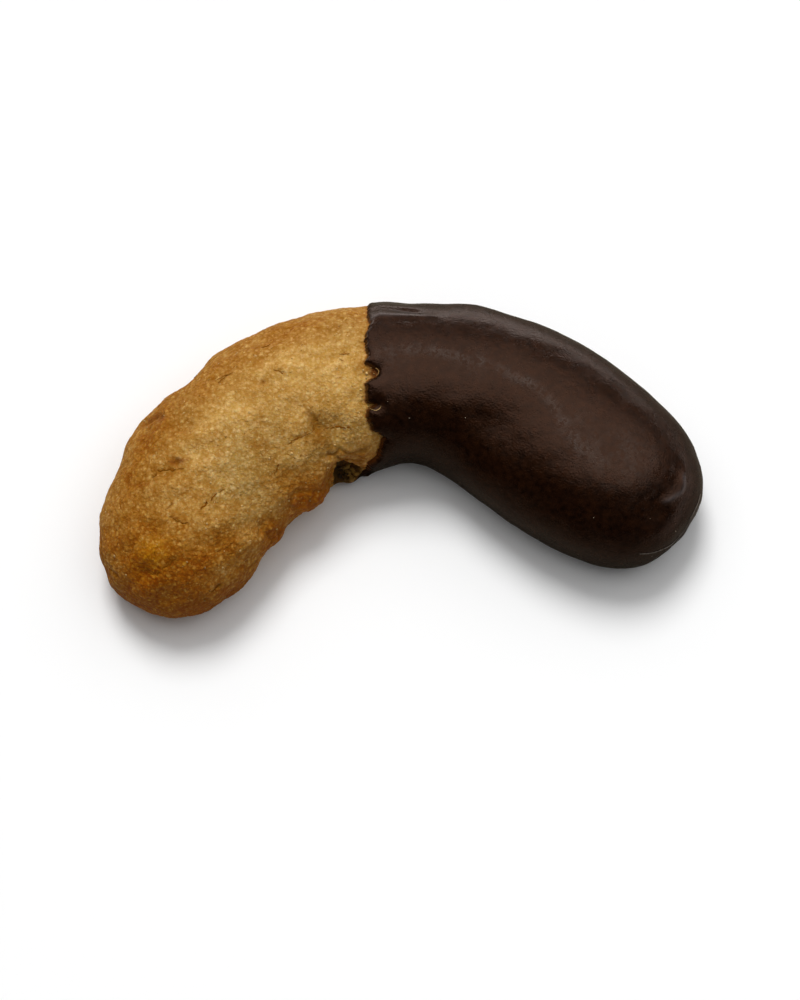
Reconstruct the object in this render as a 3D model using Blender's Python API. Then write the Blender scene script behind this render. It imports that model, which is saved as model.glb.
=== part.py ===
"""A walnut crescent: a finger-thick roll of short dough, baked as a bent sausage with a flat
underside, and the coat of dark chocolate that its right half was dipped in.

Two solids. "cookie" is the whole baked roll, which runs on under the coat. "coat" is the
chocolate, a cup of uneven wall that starts at the ragged dip line and closes over the tip.
The roll lies on z = 0, the bare tip to -X, the dipped tip to +X, the crook of the crescent
towards -Y, and the box round both solids is centred on the origin.
"""

import bpy
import numpy as np

MM = 0.001

# ---- Driving dimensions, millimetres ---------------------------------------------------
# The roll, station by station from the bare tip to the dipped tip: where its middle line
# passes in plan, how far it reaches to the outer and to the inner side, and its height.
ROLL_STATIONS = np.array([
    # x,     y,   outer, inner, height
    (-34.3, -23.1, 10.2, 10.0, 13.5),
    (-32.2, -12.6, 11.8, 11.9, 15.0),
    (-27.5, -3.4, 12.8, 12.6, 15.5),
    (-19.0, 5.1, 12.6, 12.9, 16.0),
    (-8.0, 10.1, 12.0, 11.5, 16.0),
    (4.0, 11.3, 10.5, 10.2, 15.5),
    (15.0, 8.1, 11.8, 12.1, 15.5),
    (26.0, 0.6, 12.2, 12.6, 16.0),
    (33.0, -4.7, 11.4, 11.5, 15.5),
    (40.1, -10.3, 10.4, 11.2, 14.5),
])
BARE_CAP = 13.0  # length over which the bare tip rounds off
DIPPED_CAP = 14.0
CAP_POWER = 2.4  # superellipse power of both tips, 2 is round and more is blunter
EQUATOR_SHARE = 0.40  # height of the widest line, as a share of the roll's height
DOME_POWER = 2.2  # superellipse power of the section above the widest line
BELLY_POWER = 2.6  # and below it
BELLY_DROP = 1.28  # depth of the uncut belly oval, as a share of the widest line's height

COAT_THICKNESS = 1.2  # from the dough to the coat's face
COAT_FLOOR = 0.8  # the coat under the roll, which the tray scraped thin
COAT_LIP = 0.75  # from the dough to the face at the dip line, where the coat thins
LIP_RUN = 1.6  # length over which it thins
GAP = 0.3  # clearance that keeps the two solids apart

DIP_LINE_X = -5.0  # the level that the roll was dipped to
# Where the dip line leaves that level: turn round the section, half width, shift towards +X.
DIP_LINE_SHIFTS = (
    (94.0, 6.0, 1.7),  # the notch on the crest
    (144.0, 11.0, 2.2),  # the bay on the inner side
    (212.0, 10.0, -4.0),  # the tongue that ran back along the foot
)
FADE_RUN = 1.1  # the dough's relief fades out over this length before the coat
LIFT_RUN = 3.2  # and its underside rises over this length to let the coat's floor under

EDGE_ROUND = 0.8  # how far the rounding between side and underside reaches up and in
# The rim at the foot of the coat: chocolate that sank to the tray and set there.
FOOT_REACH = 0.9
FOOT_HEIGHT = 2.0

# Lumps and hollows of the dough: distance along the roll from the bare tip, turn round the
# section in degrees, reach, and rise.
DOUGH_LUMPS = (
    (31.0, 177.0, 3.3, 1.3),  # the nub beside the hollow on the inner side
    (18.5, 180.0, 2.8, 0.7),  # the second nub
    (24.8, 181.0, 2.0, -0.9),  # the notch between the two
    (14.5, 184.0, 1.8, -0.4),
    (39.0, 168.0, 2.3, -1.8),  # the hollow before the dip line
    (36.4, 180.0, 1.4, -0.6),
    (38.1, 114.0, 2.4, -0.5),  # the dent above it
    (7.0, 80.0, 2.6, 0.45),  # the yellow blister near the tip
    (4.4, 76.0, 2.2, -0.35),
    (49.0, 12.0, 4.5, 0.5),  # swellings and dips of the outer side
    (38.5, 5.0, 3.5, 0.3),
    (32.4, 8.0, 3.0, 0.45),
    (28.4, 8.0, 3.0, -0.75),
    (21.0, 8.0, 3.5, 0.6),
)
# The same for the coat's face.
COAT_LUMPS = (
    (61.5, 12.0, 4.0, 0.6),  # swelling at the top of the bend
    (50.5, 23.0, 2.2, -0.35),  # the trough of the fold that starts at the dip line
    (54.0, 23.0, 2.2, -0.35),
    (51.0, 36.0, 1.8, 0.25),  # and its ridge
    (54.5, 35.0, 1.8, 0.2),
    (95.5, 96.0, 2.6, -0.4),  # the pinch on the tip
    (97.0, 62.0, 2.2, 0.3),
    (62.5, 188.0, 4.0, 0.5),  # swelling inside the crook
)
CRAG_RISE = 0.13  # mean unevenness of the baked surface between the lumps
CRAG_LENGTHS = (3.0, 8.0)
CRAG_WAVES = 40
CRAG_SEED = 7
COAT_WAVE_SHARE = 0.35  # how much of it shows on the coat's face

# ---- Mesh density ----------------------------------------------------------------------
AROUND = 60
FLAT_SHARE = 0.4  # density of the points on the flat underside against the rest
BARE_RINGS = 46
HIDDEN_RINGS = 16
COAT_RINGS = 28
TIP_SWELL = 10.0  # radius of the roll for spacing the rings on its tips

# ---- Colours, as the photograph shows them in even light -------------------------------
DOUGH_COLOUR = (0.46, 0.27, 0.085)
COAT_COLOUR = (0.022, 0.0105, 0.0065)


# ---- The roll's form -------------------------------------------------------------------
def smooth_through(knots, rows, at):
    """Natural cubic spline through the rows at the knots: its values and slopes at the places."""
    step = np.diff(knots)
    count = len(knots)
    system = np.eye(count)
    right = np.zeros(rows.shape)
    for i in range(1, count - 1):
        system[i, i - 1:i + 2] = step[i - 1], 2 * (step[i - 1] + step[i]), step[i]
        right[i] = 6 * ((rows[i + 1] - rows[i]) / step[i] - (rows[i] - rows[i - 1]) / step[i - 1])
    bend = np.linalg.solve(system, right)
    i = np.clip(np.searchsorted(knots, at) - 1, 0, count - 2)
    width = step[i][:, None]
    left = ((knots[i + 1] - at) / step[i])[:, None]
    here = 1 - left
    values = left * rows[i] + here * rows[i + 1]
    values = values + ((left**3 - left) * bend[i] + (here**3 - here) * bend[i + 1]) * width**2 / 6
    slopes = (rows[i + 1] - rows[i]) / width
    slopes = slopes + ((1 - 3 * left**2) * bend[i] + (3 * here**2 - 1) * bend[i + 1]) * width / 6
    return values, slopes


STATION_ALONG = np.concatenate([
    [0.0], np.cumsum(np.hypot(*np.diff(ROLL_STATIONS[:, :2], axis=0).T))
])
ROLL_LENGTH = STATION_ALONG[-1]


def cap_scale(along):
    """Share of the full section at a distance along: a superellipse quarter at each tip."""
    near = np.clip(1 - along / BARE_CAP, 0, 1)
    far = np.clip(1 - (ROLL_LENGTH - along) / DIPPED_CAP, 0, 1)
    return ((1 - near**CAP_POWER) * (1 - far**CAP_POWER)) ** (1 / CAP_POWER)


def signed_power(value, power):
    return np.sign(value) * np.abs(value) ** power


def roll_points(along, turn):
    """The roll before its belly is cut flat.

    Across each station, turn runs from the outer side (0) over the crest (a quarter) and the
    inner side (a half) to the belly (three quarters): a dome over a tighter, deeper oval.
    """
    values, slopes = smooth_through(STATION_ALONG, ROLL_STATIONS, along.ravel())
    values = values.reshape(along.shape + (5,))
    heading = slopes[:, :2].reshape(along.shape + (2,))
    heading = heading / np.linalg.norm(heading, axis=-1, keepdims=True)
    outward = np.stack([-heading[..., 1], heading[..., 0]], axis=-1)
    cosine, sine = np.cos(turn), np.sin(turn)
    power = np.where(sine > 0, 2 / DOME_POWER, 2 / BELLY_POWER)
    reach = np.where(cosine > 0, values[..., 2], values[..., 3])
    equator = EQUATOR_SHARE * values[..., 4]
    rise = np.where(sine > 0, values[..., 4] - equator, BELLY_DROP * equator)
    scale = cap_scale(along)
    across = scale * reach * signed_power(cosine, power)
    height = equator + scale * rise * signed_power(sine, power)
    plan = values[..., :2] + across[..., None] * outward
    return np.concatenate([plan, height[..., None]], axis=-1)


def smooth_roll(along, turn):
    """The roll's points and its outward normals, from differences over a small step."""
    small = 1e-3
    inside = np.clip(along, 0.02, ROLL_LENGTH - 0.02)
    run = roll_points(inside + small, turn) - roll_points(inside - small, turn)
    round_ = roll_points(inside, turn + small) - roll_points(inside, turn - small)
    normals = np.cross(round_, run)
    return roll_points(along, turn), normals / np.linalg.norm(normals, axis=-1, keepdims=True)


def ease(value):
    """0 below 0, 1 above 1, and a smooth step between."""
    value = np.clip(value, 0, 1)
    return value**2 * (3 - 2 * value)


def flattened(height, floor):
    """The heights cut level at the floor, with a rounded edge where the side meets the flat."""
    above = height - floor
    rounded = (above + EDGE_ROUND) ** 2 / (4 * EDGE_ROUND)
    return floor + np.where(above > EDGE_ROUND, above, np.where(above < -EDGE_ROUND, 0, rounded))


def lumps(points, table):
    """Rise of the lumps in the table at the points: a bell of distance round each lump's place."""
    rise = np.zeros(points.shape[:-1])
    for along, turn, reach, height in table:
        centre = roll_points(np.array([along]), np.radians([turn]))[0]
        apart = np.linalg.norm(points - centre, axis=-1)
        rise += height * np.exp(-((apart / reach) ** 2))
    return rise


def crags(points):
    """Unevenness of the surface: a seeded sum of plane waves of mixed direction and length."""
    draw = np.random.default_rng(CRAG_SEED)
    direction = draw.normal(size=(CRAG_WAVES, 3))
    direction /= np.linalg.norm(direction, axis=1, keepdims=True)
    length = draw.uniform(*CRAG_LENGTHS, CRAG_WAVES)
    phase = draw.uniform(0, 2 * np.pi, CRAG_WAVES)
    waves = np.sin(2 * np.pi * points @ (direction / length[:, None]).T + phase)
    return CRAG_RISE * waves.sum(axis=-1) / np.sqrt(CRAG_WAVES / 2)


# ---- The dip line ----------------------------------------------------------------------
def dip_line_x(turn):
    """X of the coat's edge round the section: a level line with a bell for each shift."""
    level = np.full(turn.shape, DIP_LINE_X)
    for place, half_width, shift in DIP_LINE_SHIFTS:
        apart = (np.degrees(turn) - place + 180) % 360 - 180
        level += shift * np.exp(-((apart / half_width) ** 2))
    return level


def dip_line_along(turn):
    """Distance along the roll at which its surface meets the dip line, by repeated correction."""
    goal = dip_line_x(turn)
    along = np.interp(goal, ROLL_STATIONS[:, 0], STATION_ALONG)
    for _ in range(8):
        along += goal - roll_points(along, turn)[..., 0]
    return along


# ---- Places on the surface -------------------------------------------------------------
def turns():
    """Turns round the section, evenly spaced over its surface and wider apart on the flat."""
    fine = np.linspace(0, 2 * np.pi, 2001)
    section = roll_points(np.full(fine.shape, ROLL_LENGTH / 2), fine)
    step = np.linalg.norm(np.diff(section, axis=0), axis=1)
    step *= np.where(section[1:, 2] < 0, FLAT_SHARE, 1.0)
    surface = np.concatenate([[0.0], np.cumsum(step)])
    return np.interp(np.linspace(0, surface[-1], AROUND, endpoint=False), surface, fine)


def places(first, last, count):
    """A grid of distances along the roll and turns round it, between two rings.

    The rings are as far apart on the surface at the rounded tips as along the straight sides:
    they are even steps of a path that also climbs and falls as the section swells.
    """
    start, end = np.mean(first), np.mean(last)
    fine = start + (end - start) * (1 - np.cos(np.linspace(0, np.pi, 4001))) / 2
    path = np.hypot(np.diff(fine), TIP_SWELL * np.diff(cap_scale(fine)))
    path = np.concatenate([[0.0], np.cumsum(path)])
    even = np.interp(np.linspace(0, path[-1], count), path, fine)
    share = ((even - start) / (end - start))[:, None]
    return first + share * (last - first), np.broadcast_to(turns(), (count, AROUND))


# ---- The two solids --------------------------------------------------------------------
def dough_rings():
    """Rings of the baked roll from tip to tip, with the relief faded out under the coat."""
    edge = dip_line_along(turns())
    bare, turn = places(0 * edge, edge, BARE_RINGS)
    hidden, hidden_turn = places(edge, 0 * edge + ROLL_LENGTH, HIDDEN_RINGS)
    along = np.concatenate([bare, hidden[1:]])
    turn = np.concatenate([turn, hidden_turn[1:]])
    points, normals = smooth_roll(along, turn)
    before_coat = dip_line_x(turn) - points[..., 0]
    bare = ease((before_coat - GAP) / FADE_RUN)
    relief = lumps(points, DOUGH_LUMPS) + crags(points)
    points = points + (bare * relief)[..., None] * normals
    floor = (COAT_FLOOR + GAP) * ease((LIFT_RUN + GAP - before_coat) / LIFT_RUN)
    points[..., 2] = flattened(points[..., 2], floor)
    return points


def coat_face(along, turn, beyond_lip):
    """The coat's outer face: the roll, grown by the wall, its lumps and the foot at the tray."""
    points, normals = smooth_roll(along, turn)
    wall = COAT_LIP + (COAT_THICKNESS - COAT_LIP) * np.sqrt(np.clip(beyond_lip / LIP_RUN, 0, 1))
    away_from_lip = ease(beyond_lip / LIP_RUN)
    uneven = lumps(points, COAT_LUMPS) + COAT_WAVE_SHARE * crags(points)
    face = points + (wall + away_from_lip * uneven)[..., None] * normals
    face[..., 2] = flattened(face[..., 2], 0)
    outward = normals.copy()
    outward[..., 2] = 0
    low = ease(1 - face[..., 2] / FOOT_HEIGHT) * away_from_lip
    return face + FOOT_REACH * low[..., None] * outward


def coat_rings():
    """Rings of the coat: along its inner skin from the tip to the dip line, and back outside."""
    edge = dip_line_along(turns())
    tip = 0 * edge + ROLL_LENGTH
    points, normals = smooth_roll(*places(edge, tip, HIDDEN_RINGS))
    inner = points + GAP * normals
    inner[..., 2] = flattened(inner[..., 2], COAT_FLOOR)
    along, turn = places(edge, tip, COAT_RINGS)
    outer = coat_face(along, turn, along - edge)
    return np.concatenate([inner[::-1], outer])


def loft(name, rings, material):
    """A closed mesh through the rings, whose first and last are each drawn into one point."""
    count, around = rings.shape[:2]
    body = rings[1:-1].reshape(-1, 3)
    first_pole, last_pole = rings[0].mean(axis=0), rings[-1].mean(axis=0)
    points = np.concatenate([body, [first_pole, last_pole]])
    near = np.arange(around)
    far = (near + 1) % around
    faces = []
    for ring in range(count - 3):
        here, there = ring * around, (ring + 1) * around
        faces += np.stack([here + near, here + far, there + far, there + near], 1).tolist()
    last_ring = (count - 3) * around
    faces += np.stack([np.full(around, len(body)), far, near], 1).tolist()
    faces += np.stack([np.full(around, len(body) + 1), last_ring + near, last_ring + far], 1).tolist()
    mesh = bpy.data.meshes.new(name)
    mesh.from_pydata((points * MM).tolist(), [], faces)
    mesh.shade_smooth()
    mesh.materials.append(material)
    return bpy.data.objects.new(name, mesh)


def finish(name, colour, roughness):
    material = bpy.data.materials.new(name)
    material.use_nodes = True
    shader = material.node_tree.nodes["Principled BSDF"]
    shader.inputs["Base Color"].default_value = (*colour, 1)
    shader.inputs["Roughness"].default_value = roughness
    shader.inputs["Metallic"].default_value = 0
    return material


def main():
    for thing in list(bpy.data.objects):
        bpy.data.objects.remove(thing)
    crescent = bpy.data.collections.new("walnut crescent")
    bpy.context.scene.collection.children.link(crescent)

    dough, coat = dough_rings(), coat_rings()
    every_point = np.concatenate([dough.reshape(-1, 3), coat.reshape(-1, 3)])
    middle = (every_point.min(axis=0) + every_point.max(axis=0)) / 2
    middle[2] = 0
    baked = finish("baked dough", DOUGH_COLOUR, 0.75)
    chocolate = finish("dark chocolate", COAT_COLOUR, 0.4)
    crescent.objects.link(loft("cookie", dough - middle, baked))
    crescent.objects.link(loft("coat", coat - middle, chocolate))


if __name__ == "__main__":
    main()
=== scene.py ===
import bpy
import numpy as np
from bpy.props import FloatProperty, FloatVectorProperty, IntProperty, PointerProperty
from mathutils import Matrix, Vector


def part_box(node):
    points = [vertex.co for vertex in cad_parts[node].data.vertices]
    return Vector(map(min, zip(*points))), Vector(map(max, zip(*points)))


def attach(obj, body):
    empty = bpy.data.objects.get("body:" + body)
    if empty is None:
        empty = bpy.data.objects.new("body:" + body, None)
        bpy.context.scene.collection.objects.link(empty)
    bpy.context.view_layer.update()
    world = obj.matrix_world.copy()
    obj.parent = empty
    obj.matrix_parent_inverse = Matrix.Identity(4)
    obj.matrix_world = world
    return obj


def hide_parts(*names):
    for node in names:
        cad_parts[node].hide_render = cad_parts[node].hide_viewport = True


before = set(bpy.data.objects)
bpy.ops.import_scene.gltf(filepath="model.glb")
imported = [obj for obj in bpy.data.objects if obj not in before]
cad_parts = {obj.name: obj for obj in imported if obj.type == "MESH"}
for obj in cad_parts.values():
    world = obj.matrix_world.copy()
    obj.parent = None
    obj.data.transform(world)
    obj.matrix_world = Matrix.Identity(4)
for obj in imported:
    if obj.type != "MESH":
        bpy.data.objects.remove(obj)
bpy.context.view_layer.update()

bl_info = {
    "name": "Walnut crescent",
    "version": (1, 0, 0),
    "blender": (4, 5, 0),
    "location": "3D View > Sidebar > Crescent",
    "description": "Makes the baked dough, the chocolate and the crumbs of a half-dipped walnut crescent",
    "category": "Object",
}

MM = 0.001

# ---- The roll, millimetres -------------------------------------------------------------
# Station by station from the bare tip to the dipped tip: where its middle line passes in plan,
# how far it reaches to the outer and to the inner side, and its height.
ROLL_STATIONS = np.array([
    # x,     y,   outer, inner, height
    (-34.3, -23.1, 10.2, 10.0, 13.5),
    (-32.2, -12.6, 11.8, 11.9, 15.0),
    (-27.5, -3.4, 12.8, 12.6, 15.5),
    (-19.0, 5.1, 12.6, 12.9, 16.0),
    (-8.0, 10.1, 12.0, 11.5, 16.0),
    (4.0, 11.3, 10.5, 10.2, 15.5),
    (15.0, 8.1, 11.8, 12.1, 15.5),
    (26.0, 0.6, 12.2, 12.6, 16.0),
    (33.0, -4.7, 11.4, 11.5, 15.5),
    (40.1, -10.3, 10.4, 11.2, 14.5),
])
BARE_CAP = 13.0  # length over which the bare tip rounds off
DIPPED_CAP = 14.0
CAP_POWER = 2.4  # superellipse power of both tips, 2 is round and more is blunter
EQUATOR_SHARE = 0.40  # height of the widest line, as a share of the roll's height
DOME_POWER = 2.2  # superellipse power of the section above the widest line
BELLY_POWER = 2.6  # and below it
BELLY_DROP = 1.28  # depth of the uncut belly oval, as a share of the widest line's height
EDGE_ROUND = 0.8  # how far the rounding between side and underside reaches up and in
FOOT_SWELL = (41.6, 2.0, 2.2, 0.95)  # bulge of the inner foot: along, height, reach, how far out
TIP_SWELL = 10.0  # radius of the roll for spacing the rings on its tips

COAT_THICKNESS = 1.2  # wall of the chocolate
COAT_FLOOR = 0.8  # its floor under the roll
COAT_LIP = 0.75  # its wall at the dip line
LIP_RUN = 1.6  # length over which the wall grows from there
TONGUE_THIN = 0.6  # share of the wall that is missing on the tongue
SETTLE_RUN = 3.0  # length over which the coat smooths the dough's unevenness
RIM_SINK = 0.06  # how deep the very rim sits in the dough
GAP = 0.3  # between the dough and the coat's inner skin
LIFT_RUN = 3.2  # length over which the dough's underside lifts to make room for the coat
FLOOR_GAP = 0.05  # between the lifted underside and the coat's floor
RELIEF_FADE = 1.5  # length under the coat over which the dough's relief ends
COVERED_SINK = 0.1  # how deep the covered dough sits
INNER_SINK = 0.35  # how deep the coat's inner skin dips into the dough at the rim
FOOT_REACH = 0.9  # how far the coat's foot sank outwards
FOOT_HEIGHT = 2.0  # height up to which it did
THIN_FRINGE = 0.14  # width of the thin, red edge of the coat
FRINGE_SWAY = 0.10  # and how much that width varies

# Lumps and hollows of the dough that the solid has: distance along the roll from the bare tip,
# turn round the section in degrees, reach, and rise.
DOUGH_LUMPS = (
    (31, 177, 3.3, 1.3),  # the nub beside the hollow on the inner side
    (18.5, 180, 2.8, 0.7),  # the second nub
    (24.8, 181, 2, -0.9),  # the notch between the two
    (14.5, 184, 1.8, -0.4),
    (39, 168, 2.3, -1.8),  # the hollow before the dip line
    (36.4, 180, 1.4, -0.6),
    (38.1, 114, 2.4, -0.5),  # the dent above it
    (7, 80, 2.6, 0.45),  # the yellow blister near the tip
    (4.4, 76, 2.2, -0.35),
    (49, 12, 4.5, 0.5),  # swellings and dips of the outer side
    (38.5, 5, 3.5, 0.3), (32.4, 8, 3, 0.45), (28.4, 8, 3, -0.75), (21, 8, 3.5, 0.6),
)
COAT_LUMPS = (
    (56, 124, 5, 0.35),  # the fullness of the inner flank, and the sag beyond it
    (72, 112, 4.5, -0.38), (68.5, 116, 4.2, -0.3),
    (61.5, 12, 4, 0.6),  # swelling at the top of the bend
    (50.5, 23, 2.2, -0.35),  # the trough of the fold that starts at the dip line
    (54, 23, 2.2, -0.35),
    (51, 36, 1.8, 0.25),  # and its ridge
    (54.5, 35, 1.8, 0.2),
    (90.6, 95, 3.4, 0.42),  # the hump before the tip, and the pinch between the two
    (95.8, 99, 2.2, -0.35), (97, 62, 2.2, 0.3),
    (62.5, 188, 4, 0.5),  # swelling inside the crook
)
TONGUE_X = -5.7  # beyond this the coat is the thin tongue that ran back along the foot
CRAG_RISE = 0.13  # mean unevenness of the baked surface between the lumps
CRAG_LENGTHS = (3.0, 8.0)  # the shortest and the longest wave
CRAG_WAVES = 40
CRAG_SEED = 7
COAT_WAVE_SHARE = 0.15  # how much of that unevenness shows on the coat's face
RIM_WAVE_SHARE = 0.8  # and how much on its rim

# ---- The dip line ----------------------------------------------------------------------
DIP_LINE_X = -5.0
# Where the dip line leaves that level: turn round the section, half width, shift towards +X.
DIP_LINE_SHIFTS = (
    (94, 6, 1.7),  # the notch on the crest
    (144, 11, 2.2),  # the bay on the inner side
    (212, 10, -4),  # the tongue that ran back along the foot
    (54, 5, 0.4),  # and smaller nicks
    (71, 8, -0.3),
    (87.5, 2, -0.8),  # the two banks of the notch
    (98.8, 2.6, -1), (104, 4.5, -0.3),
    (115.5, 1.6, 1.3),  # the fine split
    (137, 6, -0.55), (146, 2, 0.25), (155, 6, 1), (163.5, 5.5, 1.3), (200, 5, 1.2),
)
# Degrees between the rags of the dip line, and their reach.
DIP_LINE_RAGS = ((0.9, 0.14), (1.6, 0.22), (3.0, 0.16), (9.0, 0.1))

# ---- Fine marks of the dough -----------------------------------------------------------
# The hollow on the inner side: along, turn, reach along, reach across, depth, and the height of the
# ledge that closes it below.
HOLLOW = (41.1, 193.0, 2.3, 4.6, 2.3, 2.6)
# Creases: half width, depth, and the places they run through.
CREASES = (
    (0.42, 0.24, ((25.9, 148), (28.4, 151), (29.9, 155), (32.1, 161), (33.6, 167), (35, 174))),
    (0.35, 0.35, ((35.8, 164), (36.3, 174), (36.6, 184), (36.7, 198))),
    (0.4, 0.22, ((25.9, 150), (25.6, 157), (26, 168), (26.4, 182))),
    (0.5, 0.18, ((15.2, 153), (17, 150), (19.2, 148), (21.2, 150))),
    (0.4, 0.2, ((18.4, 142), (17.8, 150), (17.2, 162), (17.6, 172))),
    (0.35, 0.15, ((29.5, 162), (30.2, 172), (31.5, 178))),
    (0.35, 0.15, ((19.8, 160), (19.4, 172), (20.2, 182))),
    (0.45, 0.3, ((21, 19), (22.1, 26), (23, 35), (22.7, 42))),
    (0.75, 0.42, ((37.6, 102), (38.1, 109), (38.4, 116), (38.6, 122))),
    (0.5, 0.28, ((38.5, 118), (38.1, 128), (38.3, 138), (38.2, 146))),
    (0.28, 0.34, ((37.3, 137), (39.2, 142), (40.5, 140), (42.8, 152), (45.4, 153), (46.8, 150))),
    (0.28, 0.38, ((38.9, 144), (40.2, 153), (41.4, 163), (43.1, 167), (45.3, 168))),
    (0.25, 0.25, ((43.4, 156), (44.4, 161), (45.8, 161))),
)
# Cracks: half width, and the places they run through.
CRACKS = (
    (0.11, ((16.2, 61.5), (16.4, 62.5), (16.3, 64), (16.9, 64.5))),
    (0.14, ((17.2, 63.5), (17.4, 67), (17.8, 71), (18.1, 72.5), (18.4, 75.5))),
    (0.08, ((18.4, 75.5), (18.8, 77), (18.9, 79.5))),
    (0.12, ((14.7, 100), (15.4, 100), (16, 101), (16.4, 100))),
    (0.13, ((16.9, 102), (17.4, 102.5), (17.9, 103.2), (18.4, 103.5))),
    (0.08, ((18.7, 103.8), (19.1, 105), (19.6, 105.5))),
    (0.14, ((4.9, 88), (5.5, 90), (6, 93), (6.5, 93), (7, 98))),
    (0.12, ((4.8, 72), (4.5, 78), (4.3, 85), (4.9, 88))),
    (0.09, ((32.1, 115), (33.1, 115))),
    (0.13, ((33.3, 115), (34.6, 116), (35.9, 117), (36.6, 117))),
    (0.1, ((36.9, 117), (37.6, 117), (37.8, 114))),
    (0.09, ((38.9, 120), (40.1, 121))),
    (0.14, ((40.4, 121), (41.8, 123), (42.8, 127))),
    (0.08, ((42.9, 126), (43.6, 127))),
    (0.1, ((26.9, 125), (27.6, 125), (28.9, 122))),
    (0.07, ((32.9, 127), (33.4, 127))),
    (0.06, ((45, 76), (46.5, 78))),
    (0.08, ((3.6, 143), (4.9, 147))),
    (0.06, ((12.3, 84), (12, 92), (12.4, 97))),
    (0.07, ((9.3, 123), (10.2, 126))),
    (0.06, ((36.4, 72), (37.2, 77))),
)
CRACK_STEP = 0.12  # length of one step of a crack's course
CRACK_SWAY = 0.22  # how far the course sways from its places
CRACK_GROOVE = 0.2  # half width of the groove that a crack lies in
CRACK_GROOVE_DEPTH = 0.16
FULL_CRACK = 0.1  # half width from which a crack's groove has its whole depth
DEGREES_PER_MM = 4.7  # turn round the section for one millimetre of its surface
STRAY_CRACKS = 30  # short cracks at random places
STRAY_CRACK_LENGTHS = (0.5, 2.0)
STRAY_CRACK_HALF_WIDTHS = (0.02, 0.05)
# Crumbly lumps that are finer than the solid's: along, turn, reach, rise.
FINE_LUMPS = (
    (40.9, 145, 0.8, 0.35),  # the pale ledge above the hollow
    (42.2, 149, 0.8, 0.3), (44.3, 158, 0.7, 0.25), (39, 150, 0.6, 0.22),
    (26.2, 157, 0.5, 0.28),  # lumps in the nubs' faces
    (28.6, 163, 0.45, 0.22), (28.2, 178, 0.5, 0.25), (31, 168, 0.5, 0.2), (29.4, 170, 0.5, 0.25),
    (32.4, 172, 0.4, 0.2), (26.6, 166, 0.45, 0.28), (19.4, 158, 0.5, 0.22), (17.4, 170, 0.5, 0.22),
)
# Pits: along, turn, reach, depth.
PITS = (
    (21.2, 32, 0.35, 0.4), (34.4, 75, 0.32, 0.35), (37.1, 76, 0.28, 0.3), (4.5, 146, 0.3, 0.35),
    (2.5, 145, 0.35, 0.3), (4.3, 28, 0.35, 0.35), (3.8, 36, 0.4, 0.35), (19.2, 73, 0.65, 0.35),
)
STRAY_PITS = 120  # pits at random places
STRAY_PIT_REACHES = (0.08, 0.2)
STRAY_PIT_DEPTHS = (0.06, 0.2)
STRAY_RUN = (1.0, 46.0)  # stretch along the roll that the random cracks and pits cover
OPEN_TURNS = (-25, 205)  # turns of the surface that isn't underneath
MARK_SEED = 11
# Layers of soft noise on the dough and the coat: rise, size and seed of each.
CRUMB_PULLS = ((0.13, 0.4, 31), (0.25, 1.4, 41))  # these pull the marks about instead
CRUMB_WAVES = ((0.045, 1.4, 21), (0.06, 3.1, 22))
HOLLOW_RAGS = ((0.22, 1.2, 61), (0.14, 0.5, 62))
AMBER_WAVES = ((0.13, 0.9, 65), (0.08, 0.45, 67))
TOAST_WAVES = ((0.12, 5.5, 51), (0.12, 1.9, 52))
COAT_WAVES = ((0.035, 1.8, 81), (0.07, 4.5, 82))

# Browner (+) and paler (-) patches: along, turn, reach, amount.
TOAST_PATCHES = (
    (5, 66, 2, 0.25),  # round the tip
    (5.8, 112, 2.6, 0.12), (10, 118, 3, 0.1), (11.5, 93, 1.1, 0.25), (10, 77, 1.4, 0.15),
    (5.5, 132, 3, -0.2), (6, 30, 3, -0.12), (3.8, 42, 2.8, -0.22), (6.5, 142, 2.6, -0.2),
    (10.5, 28, 4, -0.2),
    (15, 68, 4.2, 0.24),  # the left shoulder
    (15.5, 96, 2.8, 0.12), (19, 58, 3.2, 0.1), (23.5, 54, 3.6, 0.16), (14, 125, 2.4, 0.25),
    (17, 116, 2.2, 0.1), (12.5, 120, 2, 0.1),
    (20.2, 44, 1.8, 0.15),  # the outer side
    (15.6, 38, 2.4, 0.1), (19, 71, 1, 0.15), (31.5, 36, 3, 0.06), (36.5, 52, 2.2, 0.14),
    (34.4, 75, 1, 0.15), (43, 52, 3, 0.02), (46.5, 22, 3.5, -0.18),
    (39.5, 80, 3, -0.1),  # the crest
    (37.5, 66, 2.4, -0.12), (21, 118, 2.6, -0.15), (33, 142, 2.2, 0.12),
    (30.5, 172, 3.4, 0.45),  # the nubs and the banks of the hollow
    (19, 160, 2, 0.3), (18.5, 178, 3, 0.35), (37.2, 166, 2, 0.25), (27.5, 137, 2.2, 0.2),
    (28.5, 108, 2.4, 0.14), (38.2, 118, 2.2, 0.16),
    (48, 90, 1.4, 0.15),  # beside the dip line
    (47.6, 113, 1.4, 0.12),
    (17.5, 76, 2.2, 0.22),  # smaller ones, here and there
    (16.5, 92, 2.6, 0.08), (18.5, 116, 2.6, 0.14), (12, 82, 3.5, 0.08), (37.5, 128, 2, 0.18),
    (30, 142, 2, 0.12), (29.5, 48, 3, 0.1), (11.6, 133, 2.2, 0.2), (17.3, 139, 1.8, 0.12),
    (21.5, 130, 2.2, 0.12), (26, 125, 2.2, 0.12), (41.5, 135, 1.8, -0.2), (28.8, 86, 2.2, -0.12),
    (25, 44, 2.4, -0.1),
)
BLISTER = ((6.8, 80, 2.3, 0.75),)  # the yellow blister
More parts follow.
